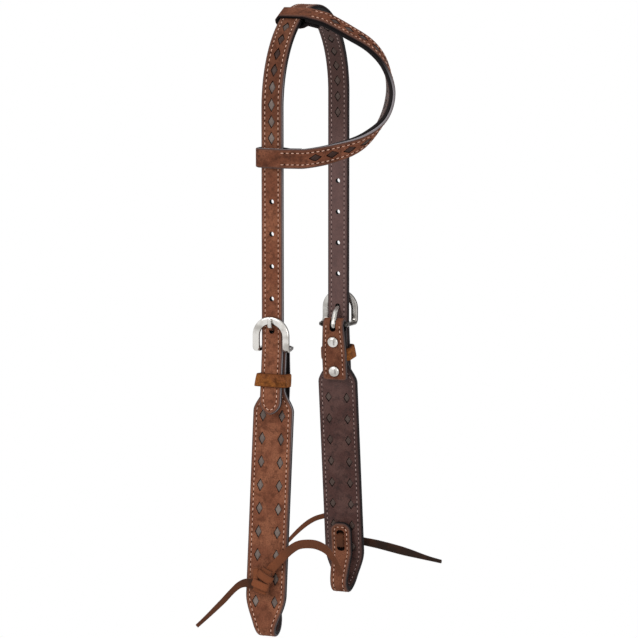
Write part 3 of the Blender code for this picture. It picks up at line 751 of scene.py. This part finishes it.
def new_material(name, **fixed):
    """A material with its Principled sockets set to fixed values, and its nodes."""
    material = bpy.data.materials.new(name)
    material.use_nodes = True
    for key, value in fixed.items():
        material.node_tree.nodes["Principled BSDF"].inputs[key.replace("_", " ")].default_value = value
    return material, Shade(material.node_tree)


def finish(material, colour, roughness, relief, strength, distance):
    """The material, with what changes over its surface linked to its shader."""
    bump = relief.node("Bump", None, {"Height": relief, "Strength": strength, "Distance": distance})
    tree = material.node_tree
    for key, value in (("Base Color", colour), ("Roughness", roughness), ("Normal", bump)):
        tree.links.new(value.socket, tree.nodes["Principled BSDF"].inputs[key])
    return material


def shaded_needle_holes(shade, rim):
    """1 in the holes that the needle leaves between stitches, which are painted dark for the shade in them."""
    run = shade.attribute("run")
    cycle = shade.maths("FRACT", run / stitch_pitch)
    along = shade.maths("MINIMUM", cycle, 1 - cycle) * stitch_pitch
    beside = rim - stitch_inset
    away = shade.maths("SQRT", along * along + beside * beside)
    return (1 - away.between(0.00032, 0.00072)) * run.between(-0.5, -0.4)


def leather(name, tones, burnish, edge, nap=0.7, grain=0.1, rough=0.85, level=0.1, worn=0.0022, sewn=True,
            painted_light=(), **fixed):
    """Dyed leather with mottled tones, a burnished rim, a dyed edge with a painted highlight, painted shade
    and sheen by height and side, and needle holes painted dark for their shade.
    """
    material, shade = new_material(name, Specular_IOR_Level=level, **fixed)
    dark, middle, light = tones
    place = shade.attribute("flat", "Vector")
    broad = shade.noise(place, 60.0, 3.0)
    patch = shade.noise(place, 210.0, 4.0, 0.65)
    fibre = shade.noise(place, 900.0, 3.0, 0.7)
    rim = shade.attribute("rim")
    wander = rim + (patch - 0.5) * 0.0012
    shine = 1 - wander.between(worn * 0.35, worn)
    turned_over = 1 - wander.between(0.0002, rim_round * 1.15)
    opening = rim.between(-0.00002, -0.00001) * (1 - rim.between(0.00001, 0.00002))
    up = shade.height()
    # Painted highlight on the edge wall, in the colour edge[2]: kept off the poll, fainter low down and on the
    # left side.
    painted_highlight = rim.between(-0.0009, -0.0008) * (1 - rim.between(0.0001, 0.0003)) * (1 - opening)
    painted_highlight = painted_highlight * (1 - up.between(-0.06, -0.03)) * (up.between(-0.36, -0.29) * 0.7 + 0.3)
    painted_highlight = painted_highlight * (1 - shade.height("Y").between(0.03, 0.05) * 0.7)
    layers = [(patch.between(0.45, 0.7) * 0.85, dark), (fibre.between(0.35, 0.75) * nap, dark)]
    # Painted shade and sheen by height and side, each as (axis, low, high, share, colour).
    layers += [(shade.height(axis).between(low, high) * share, tone) for axis, low, high, share, tone in painted_light]
    layers += [(shine * 0.5, burnish), (turned_over * 0.85, edge[0])]
    layers += [(1 - rim.between(0.00001, 0.00015), edge[1]), (painted_highlight * (0.5 + patch * 0.5), edge[2])]
    cells = shade.node("TexVoronoi", {"feature": "DISTANCE_TO_EDGE"}, {"Vector": place, "Scale": 700.0})
    relief = fibre * nap + patch * 0.6 + cells.between(0.0, 0.12) * grain
    if sewn:
        # The needle holes are painted near-black as the shade inside them, and dented.
        holes = shaded_needle_holes(shade, rim)
        layers.append((holes * 0.9, "#160B09"))
        relief = relief - holes * 1.5
    colour = shade.colour_mix(broad.between(0.42, 0.58), middle, light)
    for share, tone in layers:
        colour = shade.colour_mix(share, colour, tone)
    roughness = (rough + (patch - 0.5) * 0.18) * (1 - shine) + shine * 0.6
    roughness = roughness * (1 - turned_over) + turned_over * 0.9
    return finish(material, colour, roughness, relief, 0.45, 0.00025)


def thread_material(name, pale, dark):
    """Waxed thread, slightly uneven, twisted."""
    material, shade = new_material(name, Specular_IOR_Level=0.3)
    place = shade.attribute("flat", "Vector")
    uneven = shade.noise(place, 300.0, 2.0)
    colour = shade.colour_mix(uneven.between(0.3, 0.7), pale, dark)
    twist = shade.node("TexWave", {"bands_direction": "DIAGONAL"}, {"Vector": place, "Scale": 420.0})
    return finish(material, colour, 0.62 + (uneven - 0.5) * 0.2, twist, 0.4, 0.0001)


def soft_leather(name, deep, plain, rough, level):
    """Plain dyed leather with fine pores; each piece keeps its own tone between the two colours, which on the
    laces is painted sheen.
    """
    material, shade = new_material(name, Specular_IOR_Level=level)
    place = shade.attribute("flat", "Vector")
    broad = shade.noise(place, 90.0, 3.0)
    fibre = shade.noise(place, 1000.0, 3.0, 0.7)
    colour = shade.colour_mix(shade.attribute("rim") + (broad - 0.5) * 0.5, deep, plain)
    colour = shade.colour_mix(fibre.between(0.45, 0.8) * 0.35, colour, linear(deep, 0.6))
    return finish(material, colour, rough + (broad - 0.5) * 0.25, fibre + broad * 0.5, 0.35, 0.0002)


def nickel_material():
    """Satin nickel plate with faint casting waves and scuffs, and shade and dark reflection painted on its
    darker parts.
    """
    material, shade = new_material("nickel_plate", Metallic=1.0)
    place = shade.node("TexCoord", output="Object")
    waves = shade.noise(place, 110.0, 2.0)
    scuffs = shade.noise(place, 1400.0, 3.0, 0.7)
    polish = shade.colour_mix(waves.between(0.35, 0.65), "#DEDBD6", "#B5B1AB")
    # Each piece's rim value is its painted shine: 0 paints shade and dark reflection, 1 the polished plate; a
    # part without rim values is painted dark all over.
    colour = shade.colour_mix(shade.attribute("rim"), "#35302D", polish)
    roughness = 0.2 + scuffs.between(0.45, 0.8) * 0.12 + waves * 0.1
    return finish(material, colour, roughness, waves + scuffs * 0.04, 0.3, 0.0006)


# Edge colours: the rounded rim, the dyed wall, and the highlight painted on the wall.
outer_edge_and_highlight = ("#4A3632", "#171213", "#A39DA0")
looks = {
    "outer_leather": leather(
        "roughout_leather", ("#5E3828", "#87523C", "#9A6248"), "#705850", outer_edge_and_highlight,
        # Painted shade toward the top and on the left side.
        painted_light=(("Z", -0.17, -0.05, 0.5, "#4A2C20"), ("Y", 0.03, 0.05, 0.25, "#2E1A14"))
    ),
    "ear_leather": leather("ear_leather", ("#4C2D21", "#764632", "#8A5640"), "#66493E", outer_edge_and_highlight),
    "liner_leather": leather(
        "liner_leather", ("#33201D", "#4E312C", "#5C3F39"), "#4A3A38", ("#201617", "#100C0D", "#1D1718"),
        nap=0.2, grain=0.5, rough=0.5, level=0.2, Coat_Weight=0.03, Coat_Roughness=0.35,
        # Painted sheen above the buckles and painted shade near the top.
        painted_light=(("Z", -0.34, -0.26, 0.45, "#7A605D"), ("Z", -0.125, -0.075, 0.75, "#3A211A"))
    ),
    "keeper_leather": leather(
        "keeper_leather", ("#4E2A13", "#8A5230", "#A0622F"), "#7A4522", ("#6A3A1C", "#4A2813", "#4A2813"),
        nap=0.8, worn=0.0008, sewn=False
    ),
    "lace": soft_leather("lace_leather", "#351F18", "#8E8078", 0.5, 0.2),
    "tie_leather": soft_leather("tie_leather", "#30221B", "#884E31", 0.8, 0.15),
    "nickel": nickel_material(),
    "thread": thread_material("thread", "#EAC3AF", "#C49C88"),
    "lining_thread": thread_material("lining_thread", "#B9A09A", "#8A706A"),
    "dark_thread": thread_material("dark_thread", "#7A5B4B", "#5A4036"),
}


def dress(made, look, body=None, *nodes):
    """Give a piece its material and its body, and hide the nodes it stands for."""
    made.data.materials.clear()
    made.data.materials.append(looks[look])
    if body:
        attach(made, body)
    if nodes:
        "outer_leather" if look == "ear_leather" else look
        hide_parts(*nodes)
    return made


def sewn_ply(names, ribbon, outline, glue, face, cutters, dyes, body, nodes, sewn=None, grooved=None):
    """A ply and its stitches: names and dyes are one of each for the leather and the thread."""
    ply_made = plate(names[0], ribbon, outline, glue, face, grooved or sewn, cutters)
    rows = stitches(names[1], ribbon, outline, face, 1 if face > glue else -1, sewn)
    return dress(ply_made, dyes[0], body, *nodes), dress(rows, dyes[1], body)


def lace(stem, body, ribbon, marks, tones, offset, outside, inside):
    """A buck-stitch lace: diamonds on the outer face and, between them, on the inner face."""
    piece = Piece(stem + "_diamonds")
    diamonds(piece, ribbon, marks, tones, offset, outside, 1, diamond_length)
    hidden = [lining_lace_sheen] * (len(marks) - 1)
    diamonds(piece, ribbon, between(marks), hidden, offset, inside, -1, lining_diamond_length)
    dress(piece.build(sharp=35), "lace", body, stem + "_lace")


# Crown and slip ear


def crown_half(side, end_angle):
    """Half of the crown, from the billet's tip over the poll to the ear loop's wrap."""
    billet = hang([(0, -billet_face, -billet_length), (0, -billet_face, -0.001)], "right")
    corners = ((-billet[0][1], billet[0][2]), (poll_radius, billet[1][2]), (poll_radius, -poll_radius))
    path = rounded(corners, (bar_turn, 8))[:-1]
    path += [(poll_radius, -bar_depth + 0.02), (poll_radius, -poll_radius - 0.01)]
    path += arc((0, -poll_radius), poll_radius, 0, end_angle, int(end_angle * 30))
    ribbon = side_ribbon(path, side)
    half = crown_width / 2
    points = [(billet_point * (1 - x), half * y ** billet_round_share) for x, y in quarter(12)]
    outline = Outline(points + [(ribbon.length, half), (ribbon.length, 0)])
    bar_mark = ribbon.mark(poll_radius, -bar_depth)
    first = ribbon.mark(poll_radius, -crown_diamond_depth)
    marks = [first + crown_diamond_pitch * number for number in range(crown_diamonds)]

    def tools(slot, shown, length, low, high):
        first_hole = bar_mark + used_hole_rise + hole_pitch
        shapes = [round_hole(first_hole + hole_pitch * number, hole_radius) for number in range(spare_holes)]
        shapes.append(long_hole(bar_mark + sum(slot) / 2, slot_width, slot[1] - slot[0]))
        shapes += [window(s, 0, length) for s in shown]
        return [cutter(ribbon, shape, low, high) for shape in shapes]

    crown = side + "_crown"
    billet = side + "_billet"
    glue = ply + cement / 2
    end = ribbon.length - crown_stitch_margin
    over = outline.high + 1
    made = sewn_ply(
        (crown, crown + "_stitches"), ribbon, outline, glue + seam, stack,
        tools(outer_slot, marks, diamond_length, glue - ease, stack + ease),
        ("outer_leather", "thread"), None, ("crown_strap", billet), [(0, end)], [(-1, over)]
    ) + sewn_ply(
        (crown + "_lining", crown + "_lining_stitches"), ribbon, outline, glue - seam, 0,
        tools(lining_slot, between(marks), lining_diamond_length, -ease, glue + ease),
        ("liner_leather", "lining_thread"), None, ("crown_liner", billet + "_liner"),
        [(billet_length, end)], [(billet_length, over)]
    )
    for piece in made:
        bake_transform(piece)
    lace(crown, "crown", ribbon, marks, crown_lace_sheen, 0, stack, 0)


def wrap_path(outer_gap):
    """The ear strap's line round the crown, as (x, out) places from its free end to the bow."""
    half_cement = ear_cement / 2
    line = stack + outer_gap - half_cement
    under = half_cement - ear_rise
    edge = half_cement - crown_width / 2 - ear_side_ease
    along = Vector((cos(ear_lean), -sin(ear_lean)))
    down = Vector((-sin(ear_lean), -cos(ear_lean))) * (ear_cement + ply + ease)
    start = Vector((crown_width / 2 + ear_lead, line))
    tail, joint = [tuple(start + along * (ear_join * share) + down) for share in (1, ear_joint_share)]
    bow = start + along * (ear_join + ear_corner)
    corners = (joint, (crown_width / 2, under), (edge, under), (edge, line), start, bow)
    return [tail] + rounded(corners, (ear_corner, 6), (ear_corner, 8), (ear_corner, 8), (ear_exit_radius, 6))


def ear_loop():
    """The slip ear: a strap that wraps the crown twice, lined and laced in its bow."""
    top_out = np.array([0, -cos(ear_angle), sin(ear_angle)])
    across_top = np.cross((1, 0, 0), top_out)
    across_side = (0, 0, 1)
    top_base = top_out * poll_radius + (0, 0, -poll_radius)
    top = [top_base + (x, 0, 0) + top_out * out for x, out in wrap_path(ease)]
    low = [(x, -poll_radius - out, -ear_level) for x, out in reversed(wrap_path(ear_rise))]
    places = [(ear_reach * x, -poll_radius * out, -ear_level * down) for x, out, down in ear_bow_shares]
    bow = smooth_line([top[-2], top[-1], *places, low[0], low[1]], 12)
    widths = smooth_line([across_top, across_top, *ear_across_shares, across_side, across_side], 12)
    across = [across_top] * len(top) + list(widths[1:-1]) + [across_side] * len(low)
    ribbon = Ribbon(top + list(bow[1:-1]) + low, across)
    start = ribbon.marks[len(top) - 1] - ear_join
    end = ribbon.marks[len(top) + len(bow) - 2] + ear_join
    half = ear_width / 2
    whole, lining = [
        Outline([(low_end, 0), (low_end, half), (high_end, half), (high_end, 0)])
        for low_end, high_end in ((0, ribbon.length), (start, end))
    ]
    clear = ear_join + ear_diamond_margin + diamond_length / 2
    first = start + clear
    last = end - clear
    count = int((last - first) / ear_diamond_pitch) + 1
    marks = [(first + last) / 2 + ear_diamond_pitch * (number - (count - 1) / 2) for number in range(count)]
    face = ear_cement / 2 + ply
    sewn = (start + ear_stitch_margin, end - ear_stitch_margin)
    sewn_ply(
        ("ear_loop", "ear_stitches"), ribbon, whole, seam, face,
        [cutter(ribbon, window(s, 0, diamond_length), -ease, face + ease) for s in marks],
        ("ear_leather", "thread"), "ear", ("ear_strap",), [(sewn[0], sewn[1] + ear_stitch_reach)]
    )
    sewn_ply(
        ("ear_lining", "ear_lining_stitches"), ribbon, lining, -seam, -face,
        [cutter(ribbon, window(s, 0, lining_diamond_length), -face - ease, ease) for s in between(marks)],
        ("liner_leather", "dark_thread"), "ear", ("ear_liner",), [sewn]
    )
    lace("ear", "ear", ribbon, marks, [ear_lace_sheen] * count, 0, face, -face)


# Cheeks


def cheek_path():
    """The cheek's line: from the bit flap's end, round the bit loop, up and over the bar."""
    centre = (fold_radius - loop_reach, -loop_depth)
    corner = Vector((flap_face, flap_turn_rise - cheek_length))
    away = Vector(centre) - corner
    lean = atan2(-away.x, -away.y) + asin(loop_reach / away.length)
    ahead = corner + Vector((-sin(lean), -cos(lean))) * away.length
    path = rounded(((flap_face, flap_rise - cheek_length), corner, ahead), (loop_reach, 6))[:-1]
    path += arc(centre, loop_reach, pi - lean, pi + lean, 28)
    path += arc((0, 0), fold_radius, 0, pi, 18)
    return path + [(-fold_radius, -fold_flap_length)]


def cheek_shape(ribbon):
    """The half outline of the cheek's outer ply."""
    def at(out, up, width):
        return ribbon.mark(out, up), width / 2

    front = fold_radius
    end = ribbon.length
    points = [(0, 0)]
    points += [(flap_top_round * (1 - x), flap_width / 2 - flap_top_round * (1 - y)) for x, y in quarter(8)]
    points.append(at(flap_face, flap_turn_rise - cheek_length, flap_width))
    points.append(at(front - loop_reach * 2, -loop_depth, loop_width))
    points += swell(
        at(front - loop_reach, -cheek_length, loop_width), at(front, taper_rise - cheek_length, cheek_width)
    )
    points += swell(at(front, -flare_end, cheek_width), at(front, -flare_start, neck_width))
    points.append(at(-front, 0, neck_width))
    points.append((end - flap_round - 0.02, fold_flap_width / 2))
    points += [(end - flap_round * (1 - y), fold_flap_width / 2 - flap_round * (1 - x)) for x, y in quarter(6)]
    return points + [(end, 0)]


def cheek(side):
    """A cheek's two plies, stitches and laces."""
    ribbon = side_ribbon(cheek_path(), side, hang)
    shape = cheek_shape(ribbon)
    outline = Outline(shape)
    front = fold_radius
    under = -cement - ply
    glue = -cement / 2
    body = side + "_cheek"
    liner_end = ribbon.mark(front, -liner_drop)
    liner_shape = [point for point in shape if point[0] < liner_end]
    lining = Outline(liner_shape + [(liner_end, neck_width / 2), (liner_end, 0)])
    highest = ribbon.mark(front, -cheek_diamond_drop)
    marks = [highest - cheek_diamond_pitch * number for number in reversed(range(cheek_diamonds))]
    columns = (("front", cheek_column_offset), ("back", -cheek_column_offset))

    def tools(shown, length, low, high):
        cut = []
        for rise in (tie_low_rise, tie_high_rise):
            for out in (front, flap_face):
                s = ribbon.mark(out, rise - cheek_length)
                points = long_hole(0, tie_slot_length, thong_width + 2 * ease)
                cut.append(cutter(ribbon, [(s + w, along) for along, w in points], -2 * ply, 2 * ply))
        for name, offset in columns:
            cut += [cutter(ribbon, window(s, offset, length), low, high) for s in shown]
        return cut

    low, high = [ribbon.mark(out, -fold_slot_drop) for out in (front, -front)]
    fold_slot = long_hole((low + high) / 2, fold_slot_width, high - low)
    cutters = tools(marks, diamond_length, glue - ease, ply + ease)
    cutters.append(cutter(ribbon, fold_slot, -ply / 2, 2 * ply))
    sewn_ply(
        (body + "_leather", body + "_stitches"), ribbon, outline, glue + seam, ply, cutters,
        ("outer_leather", "thread"), body, (body + "_strap",),
        [(0, ribbon.mark(front, -0.002)), (ribbon.mark(-front, 0.0), outline.high - fold_stitch_margin)]
    )
    sewn_ply(
        (body + "_lining", body + "_lining_stitches"), ribbon, lining, glue - seam, under,
        tools(between(marks), lining_diamond_length, under - ease, glue + ease),
        ("liner_leather", "lining_thread"), body, (body + "_liner",)
    )
    for name, offset in columns:
        lace(f"{body}_{name}", body, ribbon, marks, cheek_lace_sheen[name], offset, ply, under)


def turned_cap(side, place):
    """The domed cap of a screw, on the cheek's inner face."""
    seat = -fold_radius - ply - ease / 2
    profile = [(0, cap_sink), (cap_radius - cap_foot, cap_sink)]
    profile += [(cap_radius - cap_bevel, 0), (cap_radius, -cap_edge / 2)]
    profile += [(cap_radius * x * cap_dome_share, -cap_edge - cap_height * y) for x, y in quarter(8)]
    rings = [
        [(radius * x, -(seat + out), radius * y - screw_drops[place]) for x, y in circle(40)]
        for radius, out in profile
    ]
    piece = Piece(f"{side}_{place}_cap")
    # Painted shine: the dome bright, the foot and edge painted dark as shade.
    bright = np.repeat(np.linspace(0, 1, len(profile)) > 0.3, 40)
    piece.add(rings, hang, side, rim=bright, ends=False)
    dress(piece.build(), "nickel", side + "_cheek", f"{side}_{place}_screw")


def keeper(side):
    """The sliding leather loop, its front a little wider at its lower edge."""
    half = neck_width / 2 + keeper_play + keeper_thickness / 2
    low = -fold_radius + ease + keeper_thickness / 2
    high = frame_face + keeper_thickness / 2
    radius = keeper_thickness
    corners = [(half - radius, high - radius), (radius - half, high - radius)]
    corners += [(radius - half, low + radius), (half - radius, low + radius)]
    line = []
    for number in range(4):
        line += arc(corners[number], radius, pi / 2 * number, pi / 2, 8)
        following = (number + 1) % 4
        end = arc(corners[following], radius, following * pi / 2, 0, 1)[0]
        line += [mix(line[-1], end, share) for share in (0.2, 0.4, 0.6, 0.8)]
    line = np.array(line)
    tall = keeper_height / 2
    section = [
        (-tall, -0.5, 0), (-tall, 0.1, 0), (-tall + 0.0002, 0.36, 0.0003), (-tall + 0.0007, 0.5, 0.0008),
        (-tall * 0.6, 0.53, 0.002), (-tall * 0.2, 0.55, 0.004)
    ]
    section += [(-w, t, far) for w, t, far in reversed(section)]
    rings, flat = [], []
    for (x, out), (a, b), mark in zip(line, unit(np.roll(line, -1, 0) - np.roll(line, 1, 0)), run_along(line)):
        front = blend_share((out - low) / (high - low))
        ring = []
        for w, share, far in section:
            t = share * keeper_thickness
            flare = 1 + keeper_flare / half * front * (-w / tall)
            ring.append(((x + b * t) * flare, -(out - a * t), w - keeper_drop))
            flat.append((mark, w, t))
        rings.append(ring)
    piece = Piece(side + "_keeper_loop")
    rim = [far for w, t, far in section] * len(line)
    piece.add(rings, hang, side, flat, rim, ends=False, loop=True)
    dress(piece.build(), "keeper_leather", side + "_keeper", side + "_keeper")


def buckle(side):
    """The horseshoe buckle: a domed band with heels turned back to a round bar."""
    corners = ((-frame_back, frame_heel), (frame_face, frame_heel), (frame_face, frame_height))
    ribbon = side_ribbon(rounded(corners, (frame_bend, 8)), side, upright)
    outer = frame_outer_width / 2
    inner = frame_inner_width / 2
    top = ribbon.length - outer
    angles = np.concatenate([np.full(30, 0.0), np.linspace(0, pi, 41), np.full(30, pi)])
    low = np.linspace(0, top, 31)[:-1]
    levels = np.concatenate([low, np.full(41, top), low[::-1]])
    rings, bright = [], []
    for number, (angle, level) in enumerate(zip(angles, levels)):
        share = blend_share((level - heel_length) / (frame_back + frame_face - heel_length))
        centre = heel_reach + ((outer + inner) / 2 - heel_reach) * share
        half = heel_half + ((outer - inner) / 2 * (1 + 0.08 * sin(angle)) - heel_half) * share
        end = min(number, len(angles) - 1 - number)
        size = (0.6, 0.85, 0.96)[end] if end < 3 else 1
        ring = []
        for a, b in frame_section:
            reach = centre + a * half * size
            lift = frame_thickness * (0.5 + (b - 0.5) * size)
            ring.append((level + reach * sin(angle), reach * cos(angle), lift))
            # Painted shine: the band's crest bright, its sides dark and the heels darker, as shade and dark
            # reflection; the back nearly bright.
            back = 0.8 if b == 0 else 0
            bright.append(max(back, blend_share((b - 0.45) / 0.45)) * (0.1 + 0.9 * share))
        rings.append(ring)
    piece = Piece(side + "_buckle_frame")
    piece.add(rings, ribbon.bend, side, rim=bright)
    bar = []
    for share, size in ((-1, 0.6), (-0.97, 0.9), (-0.9, 1), (0.9, 1), (0.97, 0.9), (1, 0.6)):
        radius = bar_radius * size
        bar.append([(share * bar_half_length, radius * x, radius * y) for x, y in circle(20)])
    piece.add(bar, upright, side)
    dress(piece.build(), "nickel", side + "_buckle", side + "_buckle")


def tongue(side):
    """The buckle's tongue: curled round the bar, up through the strap and onto the band."""
    knee = Vector((tongue_knee_out, tongue_knee_rise))
    leave = atan2(knee.y, knee.x) + acos(fold_radius / knee.length)
    curl = arc((0, 0), fold_radius, tongue_start, leave - 2 * pi - tongue_start, 30)
    corners = (curl[-1], knee, (tongue_face, tongue_crest_rise), (tongue_face, tongue_rise))
    path = curl[:-1] + rounded(corners, (tongue_knee_round, 6), (tongue_crest_round, 6))
    ribbon = side_ribbon(evenly_spaced(path, 0.0012), side, upright)
    rings = []
    for mark in ribbon.marks:
        share = mark / ribbon.length
        half = tongue_width / 2 + (tongue_tip_width - tongue_width) / 2 * blend_share(share * 4 - 3)
        left = (ribbon.length - mark) / tongue_tip_round
        tip = sqrt(max(0.06, 1 - (1 - left) ** 2)) if left < 1 else 1
        thick = tongue_thickness / 2
        rings.append([(mark, half * tip * swollen(x, 0.8), -thick * (1 - tip * y)) for x, y in circle(14)])
    piece = Piece(side + "_buckle_tongue")
    # The tongue's sides are painted dark as shade, its top and underside bright.
    piece.add(rings, ribbon.bend, side, rim=[abs(y) for x, y in circle(14)] * len(rings))
    dress(piece.build(), "nickel", side + "_tongue", side + "_tongue")


def knot_turn(piece, side, centre, lean, offset, reach, lift, width, tone):
    """One turn of the thong over the knot: it rises from behind, passes over and goes back down."""
    sideways = np.array([cos(lean), 0, sin(lean)])
    along = np.array([-sin(lean), 0, cos(lean)])
    line = []
    for angle in np.linspace(-1.5, 1.5, 27):
        far = reach * swollen(sin(angle), 0.8)
        out = knot_depth / 2 * lift * cos(angle) ** 0.5
        line.append(centre + sideways * offset + along * far + (0, -out, 0))
    sections = [soft_section(width / 2, thong_thickness, 20, 0.42)] * len(line)
    rings, flat = sweep(line, sections, [sideways] * len(line))
    # Each turn is painted darker toward its edges, as shade in the grooves between turns.
    painted_groove_shade = 1 - 0.6 * np.abs(flat[..., 1] / (width / 2)) ** 6
    piece.add(rings, hang, side, flat + (offset * 9, lean, 0), tone * painted_groove_shade)


def tie(side):
    """The thong through the fold, its knot and its two tails."""
    high = tie_high_rise - cheek_length
    low = tie_low_rise - cheek_length
    behind = flap_face - ply - ease - thong_thickness / 2
    bend = (thong_thickness / 2 + ease, 8)
    top = high - thong_slack
    bottom = low + thong_slack
    path = rounded(((knot_out, top), (behind, top), (behind, bottom), (knot_out, bottom)), bend, bend)
    line = [(0, -out, up) for out, up in evenly_spaced(path, 0.002)]
    sections = [soft_section(thong_width / 2 * 0.86, thong_thickness)] * len(line)
    piece = Piece(side + "_tie_knot")
    rings, flat = sweep(line, sections, [(1, 0, 0)] * len(line))
    piece.add(rings, hang, side, flat, 0.3)
    centre = np.array([0, -knot_out, (high + low) / 2 + knot_lift])
    for row in knot_turns:
        knot_turn(piece, side, centre, *row)
    radii = np.array([0.34 * knot_width, 0.38 * knot_depth, 0.40 * knot_height])
    core = []
    for angle in [pi * ring / 8 for ring in range(9)]:
        core.append([centre + radii * (sin(angle) * x, sin(angle) * y, cos(angle)) for x, y in circle(20)])
    piece.add(core, hang, side, hang(core, side), 0.3, ends=False)
    dress(piece.build(), "tie_leather", side + "_cheek", side + "_tie")
    for end, (near, far), (start, middle), route in tails[side]:
        route = np.array(route) / 10000
        line = smooth_line([route[0], *route, route[-1]], 8) * (1, -1, 1)
        root = centre + (line[0] - centre) * 0.55
        line = np.array([root, root + (line[0] - root) * 0.5, *line])
        ahead = np.gradient(line, axis=0)
        across = unit(np.cross(ahead, (0, -1, 0)))
        share = np.linspace(0, 1, len(line))
        twist = 0.2 * blend_share(share * 2.5)[:, None]
        across = across * np.cos(twist) + np.cross(across, unit(ahead)) * np.sin(twist)
        sections = []
        for part in share:
            half = thong_width / 2 * (start + (middle - start) * blend_share(part * 2.2))
            half += (thong_tip / 2 - half) * blend_share(part * 2.2 - 1.2)
            sections.append(soft_section(half, thong_thickness * (1 - 0.25 * part), 14, 0.5))
        rings, flat = sweep(line, sections, across)
        tones = near + (far - near) * blend_share(flat[..., 0] / flat[..., 0].max() * 2.5)
        piece = Piece(f"{side}_tie_{end}_end")
        piece.add(rings, hang, side, flat, tones)
        made = dress(piece.build(), "tie_leather", side + "_cheek", f"{side}_tie_{end}_tail")
        hung = hang(line, side)


crown_half("right", ear_angle)
crown_half("left", pi - ear_angle)
ear_loop()
for side in ("right", "left"):
    cheek(side)
    for place in screw_drops:
        turned_cap(side, place)
        dress(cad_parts[f"{side}_{place}_post"], "nickel")
    keeper(side)
    buckle(side)
    tongue(side)
    tie(side)


# Stage, light and camera


def seen_directly(tree):
    """1 for the camera's own rays and for mirrored and transmitted ones, 0 for the light that is given."""
    rays = tree.nodes.new("ShaderNodeLightPath")
    names = ("Is Camera Ray", "Is Glossy Ray", "Is Transmission Ray")
    own, mirrored, through = [Shade(tree, rays.outputs[name]) for name in names]
    return own.maths("MINIMUM", own + mirrored + through, 1.0)


def backdrop():
    """A pale floor well under the hanging straps, white to the camera."""
    reach = 6.0
    level = -0.62
    mesh = bpy.data.meshes.new("floor")
    corners = [(-reach, -reach, level), (reach, -reach, level), (reach, reach, level), (-reach, reach, level)]
    mesh.from_pydata(corners, [], [(0, 1, 2, 3)])
    material, shade = new_material("pale_floor", Roughness=0.9, Base_Color=(0.8, 0.8, 0.8, 1))
    tree = material.node_tree
    plain = Shade(tree, tree.nodes["Principled BSDF"].outputs[0])
    white = shade.node("Emission", None, {"Strength": 1.0})
    both = shade.node("MixShader", None, {0: seen_directly(tree), 1: plain, 2: white})
    tree.links.new(both.socket, tree.nodes["Material Output"].inputs["Surface"])
    mesh.materials.append(material)
    new_object("floor", mesh)


def surroundings():
    """A white background with softer light for the leather."""
    world = bpy.data.worlds.new("studio")
    bpy.context.scene.world = world
    world.use_nodes = True
    tree = world.node_tree
    background = tree.nodes["Background"]
    background.inputs["Color"].default_value = (1, 1, 1, 1)
    strength = 0.5 + seen_directly(tree) * 0.5
    tree.links.new(strength.socket, background.inputs["Strength"])


def stand(name, data, place, ahead):
    """An object at a place, looking ahead."""
    made = new_object(name, data)
    made.location = place
    made.rotation_euler = ahead.to_track_quat("-Z", "Y").to_euler()
    return made


def panel(name, place, size, power):
    """A soft light panel that faces the headstall."""
    data = bpy.data.lights.new(name, "AREA")
    data.shape = "SQUARE"
    data.size = size
    data.energy = power
    stand(name, data, place, Vector((0, 0, -0.24)) - Vector(place))


def camera():
    """The photograph's viewpoint."""
    azimuth, elevation = radians(20.7), radians(8.9)
    distance = 3.0
    back = Vector((sin(azimuth) * cos(elevation), -cos(azimuth) * cos(elevation), sin(elevation)))
    centre = Vector((cos(azimuth), sin(azimuth), 0)) * 0.0098 + Vector((0, 0, -0.2422))
    data = bpy.data.cameras.new("camera")
    data.lens = 215.5
    data.sensor_width = 36
    data.clip_end = 50
    bpy.context.scene.camera = stand("camera", data, centre + back * distance, -back)


backdrop()
surroundings()
panel("key", (-0.9, -2.2, 1.3), 1.4, 27)
panel("side", (2.3, -1.0, 0.3), 1.0, 12)
panel("top", (0.3, 0.6, 2.2), 1.2, 8)
camera()
bpy.context.scene.view_settings.view_transform = "Standard"
